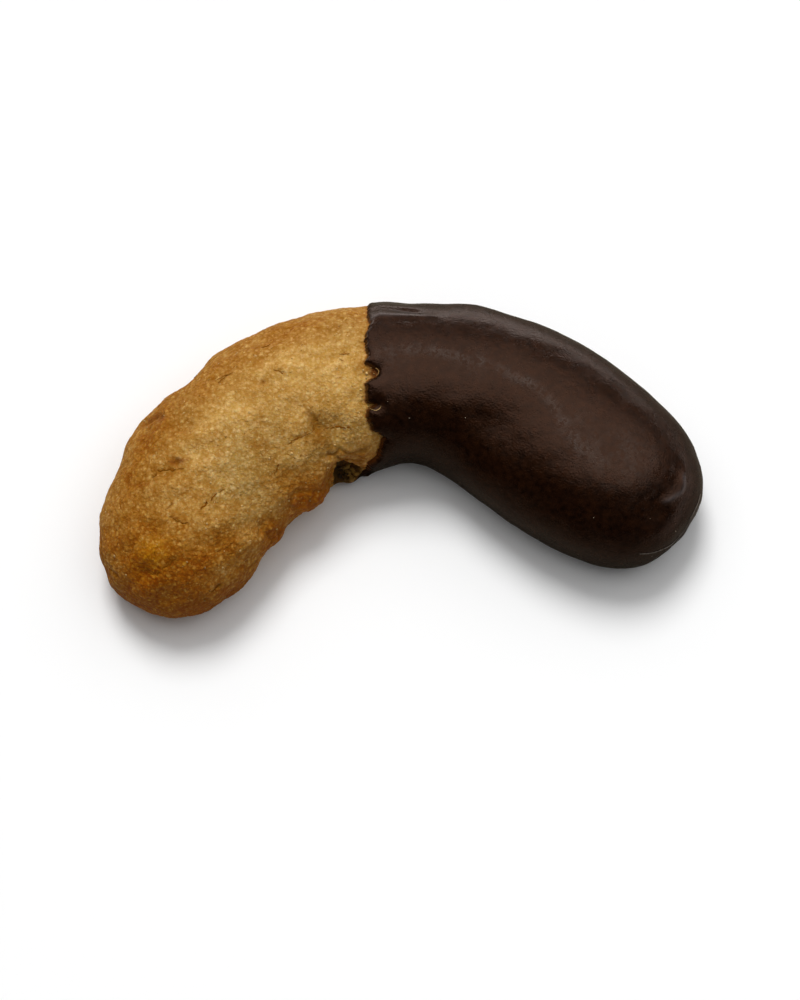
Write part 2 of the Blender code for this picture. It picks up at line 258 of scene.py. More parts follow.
# Painted shade: broad patches, mostly on the inner side of the crest, that darken the dough's colour evenly.
BROAD_SHADE_PATCHES = (
    (24.4, 102, 3.5, 0.7), (32.1, 98, 3, 0.4), (20.4, 122, 3, 0.4), (17.7, 107, 2.6, 0.3),
    (30.5, 122, 3, 0.4), (46.5, 55, 3, 0.3), (39, 120, 2.8, 0.7), (43.5, 130, 2.4, 0.4),
    (36.8, 134, 2, 0.3), (48, 112, 2, 0.4), (14.5, 66, 4, 0.25), (24, 52, 3.5, 0.2),
)
# Amber of the nubs, thin edges and tip: partly their browner crust, partly a painted glow of light shining
# into thin dough.
AMBER = (
    (31, 172, 3.2, 1),  # the nubs
    (28.4, 161, 2.4, 0.8), (26, 170, 2, 0.6), (33.5, 183, 2.2, 0.6), (27.8, 184, 2, 0.6),
    (18, 150, 1.5, 0.25), (17, 164, 2.2, 0.3), (20.5, 184, 2.4, 0.4), (15, 178, 2.2, 0.3),
    (41.6, 157, 1.5, 0.15),  # the ledges above the hollow
    (44.6, 163, 2, 0.25), (38.2, 152, 1.6, 0.35),
    (4, 118, 3.5, 0.35),  # the tip
    (3.2, 60, 3, 0.3),
)
# Near-black patches: in the notch and the split at the dip line, along a crease on the upper outer side, and
# the core of the walnut fleck.
NEAR_BLACK_PATCHES = (
    (49.2, 93, 0.8, 1.3), (49, 115.5, 0.45, 0.9), (19, 71.5, 0.22, 0.7), (19.3, 73.5, 0.3, 0.9),
    (19.6, 75.5, 0.2, 0.6), (22.1, 25, 0.35, 0.45), (22.7, 31, 0.4, 0.55), (22.9, 38, 0.32, 0.55),
)
# Red-brown stains round the walnut fleck and the brown pits.
STAINS = (
    (18.9, 71, 0.45, 0.9), (19.3, 73.5, 0.5, 1), (19.8, 76, 0.4, 0.8), (20.2, 78.5, 0.3, 0.6),
    (21.3, 20, 0.6, 0.5), (21.9, 24.5, 0.75, 1), (22.6, 29.5, 0.75, 1.1), (23, 36, 0.7, 1.1),
    (22.7, 41, 0.6, 1), (21.3, 31, 0.35, 0.7), (34.4, 75, 0.4, 0.6),
)

# Bits of crumb at certain places: along, turn, radius, lift, tone from pale (0) to walnut skin (1).
PLACED_BITS = (
    (47.7, 90.5, 0.16, 0.05, 0.2),  # pale shards in the notch, and browner ones behind
    (48.1, 92.5, 0.18, 0, 0.15), (47.9, 95.5, 0.15, 0.05, 0.25), (48.9, 90, 0.12, 0.05, 0.65),
    (49.1, 93.5, 0.12, 0, 0.8), (49.5, 95, 0.13, 0, 0.85), (48.9, 96.5, 0.11, 0.05, 0.7),
    (48.3, 114, 0.16, 0.05, 0.5),  # brown crumbs in the split
    (48.9, 115.5, 0.16, 0.1, 0.7),
)
GRAIN_RUN = (0.8, 47.0)  # stretch along the roll that the loose grains cover
HOLLOW_CRUMBS = 34  # crumbs in the hollow, between these distances along and these turns
HOLLOW_CRUMB_RUN = (39.0, 43.4)
HOLLOW_CRUMB_TURNS = (191, 200)
HOLLOW_CRUMB_RADII = (0.18, 0.50)
CRUMB_SEED = 23
# Curls of crumb that stand over the coat's edge: half width, lift, tone, and the places they run through.
CURLS = (
    (0.09, 0.95, 0.6, ((49.4, 91), (49.7, 92), (49.85, 93.2), (49.75, 94.5), (49.5, 95.8))),
    (0.06, 1.04, 0.15, (
        (47.4, 116.8), (47.7, 118.2), (48.1, 119.3), (48.5, 119.8), (48.9, 119.3), (49.2, 118.3),
        (49.4, 117),
    )),
)

# ---- Fine marks of the chocolate -------------------------------------------------------
# Grooves (-) and ridges (+) of the coat's face: half width, rise, and the places they run through.
COAT_FOLDS = (
    (0.55, -0.24, ((46.8, 42), (49.4, 42), (51, 41), (53, 42), (54.6, 44), (56, 45))),
    (0.6, 0.2, ((46.8, 53), (49.2, 53), (50.7, 51), (52.6, 51), (54.6, 51), (56.5, 50), (58.5, 47))),
    (0.9, -0.18, ((93.4, 54), (94.6, 66), (95.2, 74), (95.1, 84), (94.5, 94), (93.2, 104))),
    (0.5, 0.15, ((94.4, 48), (95.5, 60), (96.2, 67), (96.5, 75), (96.2, 86), (95.4, 95))),
    (1.4, -0.18, ((98.6, 0), (99.3, -8), (99.7, -30), (99.7, 215), (99.2, 190), (98.4, 184))),
)
# A painted highlight: a pale sliver along the edge over the foot of the tip, where a bright line of
# reflection shows; half width, and the places it runs through.
FOOT_HIGHLIGHT_LINE = (0.12, (
    (98.3, 36), (98.9, 46), (99.3, 62), (99.6, 79), (99.7, 100), (99.65, 120), (99.6, 135), (99.3, 140),
    (98.7, 146), (98, 148), (97.1, 148),
))
# The scuffed line along the crest, whose pale colour is partly scuffing and partly painted sheen: half
# width, rise, and the places it runs through.
SCUFF_AND_SHEEN_LINE = (0.75, 0.075, (
    (49, 86), (49.8, 84), (51.7, 82), (56.1, 80), (59.2, 82), (64.8, 81), (68.5, 83), (72.3, 82), (75.7, 86),
    (79.6, 92), (82.5, 97), (86, 98),
))
# And the duller patches beside it, paler in part as painted sheen, as on the hump before the tip: along,
# turn, reach, amount.
SCUFF_AND_SHEEN_PATCHES = (
    (52, 90, 2, 0.3), (63, 86, 2.5, 0.25), (80, 90, 2.6, 0.5), (84, 96, 2.6, 0.4), (88.5, 86, 4, 0.6),
)
# Painted highlights: pale streaks on the ridge of the fold at the dip line and of the pinch before the tip:
# half width, and the places they run through.
PAINTED_HIGHLIGHT_LINES = (
    (0.26, ((49, 56), (49.8, 52), (50.9, 50.5), (52, 51), (53.4, 50), (54.6, 49), (55.6, 49.5), (56.6, 49))),
    (0.28, ((95.2, 58), (95.7, 62), (96.3, 66), (96.6, 71), (96.4, 78), (96.1, 86), (95.6, 92))),
)
# Where the foot has a sharp inner edge: x, y, reach.
CRISP_FOOTS = ((40.0, -11.5, 7.0), (8.0, -1.5, 5.0))
CRISP_FOOT_HEIGHT = 1.5
SKIRT = (43.2, -9.8, 4.5, 2.5)  # where the foot spreads further: x, y, reach, and how much
# Specks that fell on the chocolate.
SPECKS = ((50.5, 115), (54.2, 129), (64.7, 119), (89.6, 129), (95.8, 107), (99, 104), (98.5, 159))


# ---- Properties ------------------------------------------------------------------------
def length(name, description, millimetres):
    """A length that is shown in scene units, with its default given in millimetres."""
    return FloatProperty(
        name=name, description=description, default=millimetres * MM, min=0.0,
        precision=5, unit="LENGTH", subtype="DISTANCE",
    )


def share(name, description, default):
    """A share from 0 to 1, shown as a slider."""
    return FloatProperty(
        name=name, description=description, default=default, min=0.0, max=1.0, subtype="FACTOR"
    )


def tint(name, description, default):
    """A colour, in linear light."""
    return FloatVectorProperty(
        name=name, description=description, default=default, min=0.0, max=1.0,
        size=3, subtype="COLOR",
    )


def power(name, description, default):
    """The power of a light, in watts."""
    return FloatProperty(name=name, description=description, default=default, min=0.0, unit="POWER")


class DoughSettings(bpy.types.PropertyGroup):
    """Sizes and colours of the baked dough"""

    around: IntProperty(name="Points around", description="Points round one ring", default=270, min=40)
    bare_rings: IntProperty(name="Bare rings", description="Rings up to the dip line", default=300, min=40)
    hidden_rings: IntProperty(name="Hidden rings", description="Rings under the coat", default=30, min=8)
    crumb_size: length("Crumb size", "Mean width of one crumb of the surface", 0.75)
    crumb_rise: length("Crumb rise", "How far a crumb stands out", 0.09)
    grit_size: length("Grit size", "Mean width of the finest grains", 0.42)
    grit_rise: length("Grit rise", "How far a fine grain stands out", 0.05)
    pale: tint("Pale crumb", "Least baked dough", (0.57, 0.36, 0.122))
    golden: tint("Golden crust", "Evenly baked dough", (0.43, 0.235, 0.058))
    toasted: tint("Toasted crust", "Brown dough of sides and tip", (0.345, 0.150, 0.017))
    dark: tint("Dark crust", "Brownest dough", (0.285, 0.087, 0.002))
    butter: tint("Blister", "Yellow blister near the tip", (0.50, 0.225, 0.003))
    # Partly browner crust, partly a painted glow of light shining into thin dough.
    amber: tint("Amber", "Thin edges and nubs that light shines into", (0.37, 0.115, 0.002))
    stain: tint("Stain", "Dough that drew fat from the chocolate", (0.20, 0.055, 0.008))
    # Painted shade: colour of the dark slivers laid in the cracks.
    crack: tint("Crack", "Bottom of a crack", (0.19, 0.060, 0.003))


class CoatSettings(bpy.types.PropertyGroup):
    """Sizes and colours of the chocolate"""

    around: IntProperty(name="Points around", description="Points round one ring", default=350, min=40)
    rings: IntProperty(name="Rings", description="Rings of the outer face", default=220, min=40)
    rim_round: length("Rim rounding", "Radius of the rim at the dip line", 0.5)
    chocolate: tint("Chocolate", "Colour of the coat", (0.0092, 0.0028, 0.0008))
    thin: tint("Thin chocolate", "Colour where light gets through the coat", (0.10, 0.029, 0.004))
    # Partly the coat's bloom and scuffing, partly painted sheen.
    bloom_and_sheen: tint("Bloom", "Colour of the scuffed crest", (0.064, 0.053, 0.047))
    # Painted highlight on the ridges of the folds.
    painted_highlight: tint("Rubbed", "Colour of the rubbed edges of the folds", (0.085, 0.072, 0.070))
    # Painted highlight along the edge over the foot.
    foot_highlight_tint: tint("Arris", "Colour of the pale edge over the foot", (0.125, 0.10, 0.08))
    gleam: tint("Gleam", "Colour of the reflection seen square on", (1.0, 0.565, 0.405))
    roughness: share("Roughness", "Roughness of the set surface", 0.27)


class CrumbSettings(bpy.types.PropertyGroup):
    """Sizes and colours of the loose crumbs"""

    grains: IntProperty(name="Grains", description="Loose grains on the dough", default=110, min=0)
    grain_radius: length("Grain radius", "Mean radius of a grain", 0.16)
    speck_radius: length("Speck radius", "Radius of the specks on the chocolate", 0.05)
    pale: tint("Pale crumbs", "Colour of loose crumbs", (0.62, 0.40, 0.15))
    speck: tint("Specks", "Colour of the specks on the chocolate", (0.46, 0.38, 0.28))
    # Painted shade: the hollow's crumbs are a darker, shaded copy of the loose crumbs, down to near black.
    shaded: tint("Shaded crumbs", "Colour of the crumbs in the hollow", (0.31, 0.165, 0.028))
    deepest_crumb_shade: tint("Dark crumbs", "Colour of the darkest crumbs in the hollow", (0.022, 0.008, 0.001))
    walnut: tint("Walnut skin", "Colour of the walnut bits", (0.10, 0.030, 0.006))


class StageSettings(bpy.types.PropertyGroup):
    """Floor, room and strengths of the lights"""

    floor: tint("Floor", "Colour of the floor", (0.90, 0.90, 0.90))
    panel: power("Panel", "Power of the soft panel behind", 13.0)
    key: FloatProperty(name="Key", description="Strength of the light from behind", default=2.1)
    fill: share("Fill", "Brightness of the room", 0.18)
    mirrored: share("Mirrored floor", "Brightness of the floor as it shows in the chocolate", 0.14)
    card: FloatProperty(name="Cards", description="Watts a square metre of the cards", default=9.0)
    strip: power("Strip", "Power of the strip low behind, which only the chocolate shows", 0.95)
    top_card: power("Top card", "Power of the card overhead, which only the chocolate shows", 3.9)


# ---- The roll's form -------------------------------------------------------------------
def smooth_through(knots, rows, at):
    """Natural cubic spline through the rows at the knots: its values and slopes at the places."""
    step = np.diff(knots)
    count = len(knots)
    system = np.eye(count)
    right = np.zeros(rows.shape)
    for i in range(1, count - 1):
        system[i, i - 1:i + 2] = step[i - 1], 2 * (step[i - 1] + step[i]), step[i]
        right[i] = 6 * ((rows[i + 1] - rows[i]) / step[i] - (rows[i] - rows[i - 1]) / step[i - 1])
    bend = np.linalg.solve(system, right)
    i = np.clip(np.searchsorted(knots, at) - 1, 0, count - 2)
    width = step[i][:, None]
    left = ((knots[i + 1] - at) / step[i])[:, None]
    here = 1 - left
    values = left * rows[i] + here * rows[i + 1]
    values = values + ((left**3 - left) * bend[i] + (here**3 - here) * bend[i + 1]) * width**2 / 6
    slopes = (rows[i + 1] - rows[i]) / width
    slopes = slopes + ((1 - 3 * left**2) * bend[i] + (3 * here**2 - 1) * bend[i + 1]) * width / 6
    return values, slopes


def covered(steps):
    """The distance covered after each step, from 0."""
    return np.concatenate([[0.0], np.cumsum(steps)])


def unit(vectors):
    """The vectors brought to length 1."""
    return vectors / np.linalg.norm(vectors, axis=-1, keepdims=True)


STATION_ALONG = covered(np.hypot(*np.diff(ROLL_STATIONS[:, :2], axis=0).T))
ROLL_LENGTH = STATION_ALONG[-1]


def cap_scale(along):
    """Share of the full section at a distance along: a superellipse quarter at each tip."""
    near = np.clip(1 - along / BARE_CAP, 0, 1)
    far = np.clip(1 - (ROLL_LENGTH - along) / DIPPED_CAP, 0, 1)
    return ((1 - near**CAP_POWER) * (1 - far**CAP_POWER)) ** (1 / CAP_POWER)


def signed_power(value, power):
    """The value's size raised to the power, with the value's own sign."""
    return np.sign(value) * np.abs(value) ** power


def roll_points(along, turn):
    """The roll before its belly is cut flat.

    Across each station, turn runs from the outer side (0) over the crest (a quarter) and the
    inner side (a half) to the belly (three quarters): a dome over a tighter, deeper oval. A bell
    swells the inner foot below the hollow.
    """
    values, slopes = smooth_through(STATION_ALONG, ROLL_STATIONS, along.ravel())
    values = values.reshape(along.shape + (5,))
    heading = unit(slopes[:, :2].reshape(along.shape + (2,)))
    outward = np.stack([-heading[..., 1], heading[..., 0]], axis=-1)
    cosine, sine = np.cos(turn), np.sin(turn)
    power = np.where(sine > 0, 2 / DOME_POWER, 2 / BELLY_POWER)
    reach = np.where(cosine > 0, values[..., 2], values[..., 3])
    equator = EQUATOR_SHARE * values[..., 4]
    rise = np.where(sine > 0, values[..., 4] - equator, BELLY_DROP * equator)
    scale = cap_scale(along)
    across = scale * reach * signed_power(cosine, power)
    height = equator + scale * rise * signed_power(sine, power)
    near_along, near_height, reach, swelling = FOOT_SWELL
    near = ((along - near_along) / reach) ** 2 + ((height - near_height) / reach) ** 2
    across = across - swelling * np.exp(-near) * np.clip(-2 * cosine, 0, 1)
    plan = values[..., :2] + across[..., None] * outward
    return np.concatenate([plan, height[..., None]], axis=-1)


def smooth_roll(along, turn):
    """The roll's points and its outward normals, from differences over a small step."""
    small = 1e-3
    inside = np.clip(along, 0.02, ROLL_LENGTH - 0.02)
    run = roll_points(inside + small, turn) - roll_points(inside - small, turn)
    across = roll_points(inside, turn + small) - roll_points(inside, turn - small)
    return roll_points(along, turn), unit(np.cross(across, run))


def ease(value):
    """0 below 0, 1 above 1, and a smooth step between."""
    value = np.clip(value, 0, 1)
    return value**2 * (3 - 2 * value)


def flattened(height, floor):
    """The heights cut level at the floor, with a rounded edge where the side meets the flat."""
    above = height - floor
    rounded = (above + EDGE_ROUND) ** 2 / (4 * EDGE_ROUND)
    return floor + np.where(above > EDGE_ROUND, above, np.where(above < -EDGE_ROUND, 0, rounded))


def place_on_roll(along, turn_degrees):
    """The roll's points at distances along it and turns in degrees."""
    return roll_points(np.asarray(along, float), np.radians(turn_degrees))


def bell(points, along, turn, reach):
    """1 at a place on the roll, and less round it as a bell of the distance."""
    apart = np.linalg.norm(points - place_on_roll(along, turn), axis=-1)
    return np.exp(-((apart / reach) ** 2))


def bells(points, table):
    """Sum of the table's amounts, each under the bell of its place."""
    return sum(amount * bell(points, along, turn, reach) for along, turn, reach, amount in table)


def crags(points):
    """Unevenness of the surface: a seeded sum of plane waves of mixed direction and length."""
    draw = np.random.default_rng(CRAG_SEED)
    direction = unit(draw.normal(size=(CRAG_WAVES, 3)))
    wave = draw.uniform(*CRAG_LENGTHS, CRAG_WAVES)
    phase = draw.uniform(0, 2 * np.pi, CRAG_WAVES)
    waves = np.sin(2 * np.pi * points @ (direction / wave[:, None]).T + phase)
    return CRAG_RISE * waves.sum(axis=-1) / np.sqrt(CRAG_WAVES / 2)


# ---- Noise -----------------------------------------------------------------------------
NOISE_REACH = 1.7  # brings soft noise to about -1 to 1
CLUMP_RISE = 0.8  # greatest height of a clump
CLUMP_FALL = 1.5  # how far it has fallen at one cube's width from its middle
BELOW_CLUMPS = -9.0  # lower than any clump reaches


def hashed(cells, seed):
    """A random share for each whole-numbered cell: its three numbers mixed bit by bit."""
    mixed = cells[..., 0] * 73856093 ^ cells[..., 1] * 19349663 ^ cells[..., 2] * 83492791
    mixed = (mixed ^ seed * 2654435761) & 0xFFFFFFFF
    mixed = (mixed ^ mixed >> 15) * 2246822519 & 0xFFFFFFFF
    mixed = (mixed ^ mixed >> 13) * 3266489917 & 0xFFFFFFFF
    return (mixed ^ mixed >> 16) / 0xFFFFFFFF


def soft_noise(points, size, seed):
    """About -1 to 1: a random slope at each corner of cubes of that size, blended between them."""
    place = points / size
    corner = np.floor(place).astype(np.int64)
    inside = place - corner
    weight = ease(inside)
    total = np.zeros(points.shape[:-1])
    for offset in np.ndindex(2, 2, 2):
        slope = np.stack([hashed(corner + offset, seed * 7 + axis) for axis in range(3)], axis=-1)
        rise = ((2 * slope - 1) * (inside - offset)).sum(axis=-1)
        total += np.prod(np.where(offset, weight, 1 - weight), axis=-1) * rise
    return NOISE_REACH * total


def ripples(points, layers):
    """Sum of layers of soft noise, each with its rise, size and seed."""
    return sum(rise * soft_noise(points, size, seed) for rise, size, seed in layers)


def clumps(points, size, seed):
    """Overlapping bumps, one in each cube of that size, of random place and height.

    The height is the most that any bump nearby reaches, its own height less a share of the
    distance squared.
    """
    place = points / size
    cell = np.floor(place).astype(np.int64)
    height = np.full(points.shape[:-1], BELOW_CLUMPS)
    for offset in np.ndindex(3, 3, 3):
        other = cell + offset - 1
        middle = other + np.stack([hashed(other, seed * 7 + axis) for axis in range(3)], axis=-1)
        bump = CLUMP_RISE * hashed(other, seed * 7 + 4)
        bump -= CLUMP_FALL * ((place - middle) ** 2).sum(axis=-1)
        height = np.maximum(height, bump)
    return height


def nearest_on_path(points, path):
    """Distance of each point to the nearest stretch of a path, and the share of the path up to there."""
    nearest = np.full(points.shape[:-1], 1e9)
    part = np.zeros(points.shape[:-1])
    for number, (start, end) in enumerate(zip(path[:-1], path[1:])):
        stretch = end - start
        foot = np.clip((points - start) @ stretch / (stretch @ stretch), 0, 1)
        apart = np.linalg.norm(points - start - foot[..., None] * stretch, axis=-1)
        part = np.where(apart < nearest, number + foot, part)
        nearest = np.minimum(nearest, apart)
    return nearest, part / (len(path) - 1)


def furrow(points, path, half_width):
    """1 on a path, less beside it as a bell, and fading out over a fifth of it at either end."""
    apart, part = nearest_on_path(points, path)
    return np.exp(-((apart / half_width) ** 2)) * ease(5 * np.minimum(part, 1 - part) + 0.1)


def path_on_roll(places):
    """Places along and round the roll as points, with the stretches between them cut into short steps."""
    places = np.array(places, float)
    fine = np.linspace(0, len(places) - 1, 4 * len(places))
    along = np.interp(fine, np.arange(len(places)), places[:, 0])
    turn = np.interp(fine, np.arange(len(places)), places[:, 1])
    return place_on_roll(along, turn)


# ---- The dip line ----------------------------------------------------------------------
def dip_line_along(turn):
    """Distance along the roll at which its surface meets the ragged dip line.

    The line's X is a level with a bell for each shift and soft noise for its rags, and the
    distance is found by repeated correction.
    """
    goal = np.full(turn.shape, DIP_LINE_X)
    for place, half_width, shift in DIP_LINE_SHIFTS:
        apart = (np.degrees(turn) - place + 180) % 360 - 180
        goal += shift * np.exp(-((apart / half_width) ** 2))
    circle = np.stack([np.cos(turn), np.sin(turn), 0 * turn], axis=-1)
    for seed, (spacing, reach) in enumerate(DIP_LINE_RAGS):
        goal += reach * soft_noise(circle, np.radians(spacing), seed)
    along = np.interp(goal, ROLL_STATIONS[:, 0], STATION_ALONG)
    for _ in range(8):
        along += goal - roll_points(along, turn)[..., 0]
    return along


NEAR_LINE = 4.0  # within this the straight distance to the line is worked out
BLOCK = 4000  # points at a time, which keeps the table of distances small


def distance_from_dip_line(points, along, turn):
    """How far each point is from the dip line: along the roll when far, else straight to the line."""
    beyond = along - dip_line_along(turn)
    near = np.abs(beyond) < NEAR_LINE
    line_turn = np.linspace(0, 2 * np.pi, 1800)
    line = roll_points(dip_line_along(line_turn), line_turn)
    chosen = points[near]
    apart = np.empty(len(chosen))
    for start in range(0, len(chosen), BLOCK):
        block = chosen[start:start + BLOCK]
        squares = (block**2).sum(1)[:, None] + (line**2).sum(1)[None] - 2 * block @ line.T
        apart[start:start + BLOCK] = np.sqrt(np.clip(squares.min(axis=1), 0, None))
    straight = beyond.copy()
    straight[near] = np.sign(beyond[near]) * apart
    return straight


# ---- Places on the surface -------------------------------------------------------------
def turns(count, flat_share):
    """Turns round the section, evenly spaced over its surface and wider apart on the flat."""
    fine = np.linspace(0, 2 * np.pi, 4001)
    section = roll_points(np.full(fine.shape, ROLL_LENGTH / 2), fine)
    step = np.linalg.norm(np.diff(section, axis=0), axis=1)
    step *= np.where(section[1:, 2] < 0, flat_share, 1.0)
    surface = covered(step)
    return np.interp(np.linspace(0, surface[-1], count, endpoint=False), surface, fine)


def places(first, last, turn, count, rim_step=1.0, rim_run=1.0):
    """A grid of distances along the roll and turns round it, between two rings.

    The rings are even steps of a path that also climbs and falls as the section swells at the
    tips. Near the first ring the steps shrink to rim_step of the rest, over rim_run.
    """
    start, end = np.mean(first), np.mean(last)
    fine = start + (end - start) * (1 - np.cos(np.linspace(0, np.pi, 4001))) / 2
    path = np.hypot(np.diff(fine), TIP_SWELL * np.diff(cap_scale(fine)))
    path /= 1 - (1 - rim_step) * np.exp(-np.abs(fine[1:] - start) / rim_run)
    path = covered(path)
    even = np.interp(np.linspace(0, path[-1], count), path, fine)
    part = ((even - start) / (end - start))[:, None]
    return first + part * (last - first), np.broadcast_to(turn, (count, len(turn)))


# ---- The dough's face ------------------------------------------------------------------
def stray_marks(count, seed):
    """Seeded places all over the bare dough: distances along, turns round, and the draw itself."""
    draw = np.random.default_rng(seed)
    return draw.uniform(*STRAY_RUN, count), draw.uniform(*OPEN_TURNS, count), draw


def fine_course(corners, sway, seed):
    """Distances along and turns round of a jagged line through the corners, in short steps."""
    corners = np.array(corners, float)
    run = covered(np.linalg.norm(np.diff(place_on_roll(*corners.T), axis=0), axis=1))
    steps = np.linspace(0, run[-1], max(6, int(run[-1] / CRACK_STEP)))
    place = np.stack([steps, 0 * steps, 0 * steps + 3.7 * seed], axis=-1)
    along = np.interp(steps, run, corners[:, 0])
    along += sway * (soft_noise(place, 0.35, 91) + soft_noise(place, 1.1, 94))
    turn = np.interp(steps, run, corners[:, 1])
    turn += sway * DEGREES_PER_MM * (soft_noise(place, 0.35, 92) + soft_noise(place, 1.1, 95))
    return along, turn


def crack_courses():
    """Half width and course of every crack: the named ones and the seeded short ones."""
    for seed, (half_width, corners) in enumerate(CRACKS):
        yield half_width, fine_course(corners, CRACK_SWAY, seed)
    along, turn, draw = stray_marks(STRAY_CRACKS, MARK_SEED)
    for seed, middle in enumerate(zip(along, turn)):
        reach = draw.uniform(*STRAY_CRACK_LENGTHS)
        angle = draw.uniform(0, np.pi)
        course = reach * np.array([np.cos(angle), np.sin(angle)]) * (1, DEGREES_PER_MM)
        corners = [middle - 0.5 * course, middle + 0.5 * course]
        yield draw.uniform(*STRAY_CRACK_HALF_WIDTHS), fine_course(corners, CRACK_SWAY, 100 + seed)


def broad_relief(points):
    """The relief that the solid has too: lumps and crags."""
    return bells(points, DOUGH_LUMPS) + crags(points)


def hollow_shares(points):
    """The hollow on the inner side: how deep it is dug, the shade painted into it, and its broken
    surroundings.

    It is an oval round its centre with a ragged outline, closed below by a ledge. Its painted shade is
    lighter in its low right-hand part, where some light reaches.
    """
    along, turn, reach_along, reach_across, deep, ledge = HOLLOW
    centre = place_on_roll(along, turn)
    ahead = unit(place_on_roll(along + 1.0, turn) - centre)
    run = (points - centre) @ ahead
    rest = np.linalg.norm(points - centre - run[..., None] * ahead, axis=-1)
    apart = np.hypot(run / reach_along, rest / reach_across)
    apart += ripples(points, HOLLOW_RAGS)
    shade = ease((1.15 - apart) / 0.3)
    ragged = ledge + 0.3 * soft_noise(points, 1.0, 66)
    dug = deep * shade * ease((points[..., 2] - ragged) / 1.1)
    # Painted light: the painted shade eases off towards the low right-hand part.
    lit = 0.20 * ease((run + 0.6) / 2.0) * ease((6.5 - points[..., 2]) / 3.0)
    return dug, shade * (1 - lit), ease((1.9 - apart) / 0.5)


def dough_cuts(points, pulled):
    """Every crease, crack and pit: its depth, how much shade is painted into it, and its bell at each point.

    The creases and pits are worked out at the pulled points, which makes their edges uneven.
    """
    for half_width, depth, course in CREASES:
        yield depth, min(0.9, 2.0 * depth), furrow(pulled, path_on_roll(course), half_width)
    for half_width, (along, turn) in crack_courses():
        fullness = min(1.0, half_width / FULL_CRACK)
        groove = furrow(points, place_on_roll(along[::2], turn[::2]), CRACK_GROOVE)
        yield CRACK_GROOVE_DEPTH, 0.5, fullness * groove
    along, turn, draw = stray_marks(STRAY_PITS, MARK_SEED + 1)
    reaches = draw.uniform(*STRAY_PIT_REACHES, STRAY_PITS)
    strays = zip(along, turn, reaches, draw.uniform(*STRAY_PIT_DEPTHS, STRAY_PITS))
    for *place, depth in PITS + tuple(strays):
        yield depth, min(0.9, 2.5 * depth), bell(pulled, *place)


def dough_marks(points, settings):
    """Fine relief and the shares that colour it: crumb, painted shade in the cuts and the hollow, and amber
    edges.

    The crumb is two sizes of clumps. Creases, cracks and pits are cut into it, the hollow is dug,
    and the fine lumps are added.
    """
    pulled = points.copy()
    for reach, size, seed in CRUMB_PULLS:
        pulled += reach * np.stack([soft_noise(points, size, seed + axis) for axis in range(3)], axis=-1)
    crumb = clumps(points, settings.crumb_size / MM, 3)
    grit = clumps(points, settings.grit_size / MM, 13)
    patchy = 0.8 + 0.5 * soft_noise(points, 2.6, 23)
    fine = patchy * (settings.crumb_rise / MM * crumb + settings.grit_rise / MM * grit)
    fine += ripples(points, CRUMB_WAVES)

    # Painted shade in the creases, cracks and pits, darker where they are deeper.
    painted_cut_shade = np.zeros(points.shape[:-1])
    for depth, darkness, closeness in dough_cuts(points, pulled):
        fine -= depth * closeness
        painted_cut_shade = np.maximum(painted_cut_shade, darkness * closeness)
    # The hollow's shade share is painted into the colour as shade.
    dug, shade, banks = hollow_shares(points)
    ledges = soft_noise(points * (1.0, 2.2, 1.0), 1.5, 63)
    fine += (banks - shade) * (0.2 * ledges + 0.15 * soft_noise(points, 0.6, 64)) - dug
    # Amber share: partly browner crust, partly a painted glow of light shining into thin dough.
    glow = np.clip(bells(points, AMBER), 0, 1)
    fine += glow * ripples(points, AMBER_WAVES)
    fine += bells(points, FINE_LUMPS)
    return fine, {"crumb": crumb + 0.6 * grit, "painted_cut_shade": painted_cut_shade, "hollow": shade, "amber": glow}


PALEST = 0.12  # how brown the crest is
# How far the outer side, the inner side and the tip go from there towards brown.
OUTER_BROWN = 0.48
INNER_BROWN = 0.45
TIP_BROWN = 0.85


def toast(points, along, turn):
    """How brown the dough is, from 0 to 1: more on both flanks and at the tip, in patches."""
    outer = OUTER_BROWN * ease((np.cos(turn) - 0.2) / 0.6)
    inner = INNER_BROWN * ease((-np.cos(turn) - 0.6) / 0.45)
    tip = TIP_BROWN * ease((17 - along) / 13)
    even = 1 - (1 - PALEST) * (1 - outer) * (1 - inner) * (1 - tip)
    return np.clip(even + bells(points, TOAST_PATCHES) + ripples(points, TOAST_WAVES), 0, 1)


def dough_face(along, turn, settings):
    """The baked face and the shares that colour it, at places along and round the roll.

    The roll with its relief, which ends under the coat, cut level below and lifted there to make
    room for the coat's floor.
    """
    points, normals = smooth_roll(along, turn)
    apart = -distance_from_dip_line(points, along, turn)
    fine, shares = dough_marks(points, settings)
    bare = ease((apart + RELIEF_FADE) / RELIEF_FADE)
    relief = bare * (broad_relief(points) + fine) - COVERED_SINK * (1 - bare)
    face = points + relief[..., None] * normals
    floor = (COAT_FLOOR - FLOOR_GAP) * ease((LIFT_RUN + GAP - apart) / LIFT_RUN)
    face[..., 2] = flattened(face[..., 2], floor)
    stain = ease(1 - (apart - 0.05) / 0.2) * (0.8 + 0.5 * soft_noise(points, 0.6, 71))
    shares["toast"] = toast(points, along, turn)
    shares["stain"] = np.clip(stain + bells(points, STAINS), 0, 1)
    for label, table in (("blister", BLISTER), ("broad_painted_shade", BROAD_SHADE_PATCHES), ("near_black", NEAR_BLACK_PATCHES)):
        # The blister, the broad painted shade and the near-black patches.
        shares[label] = np.clip(bells(points, table), 0, 1)
    return face, shares


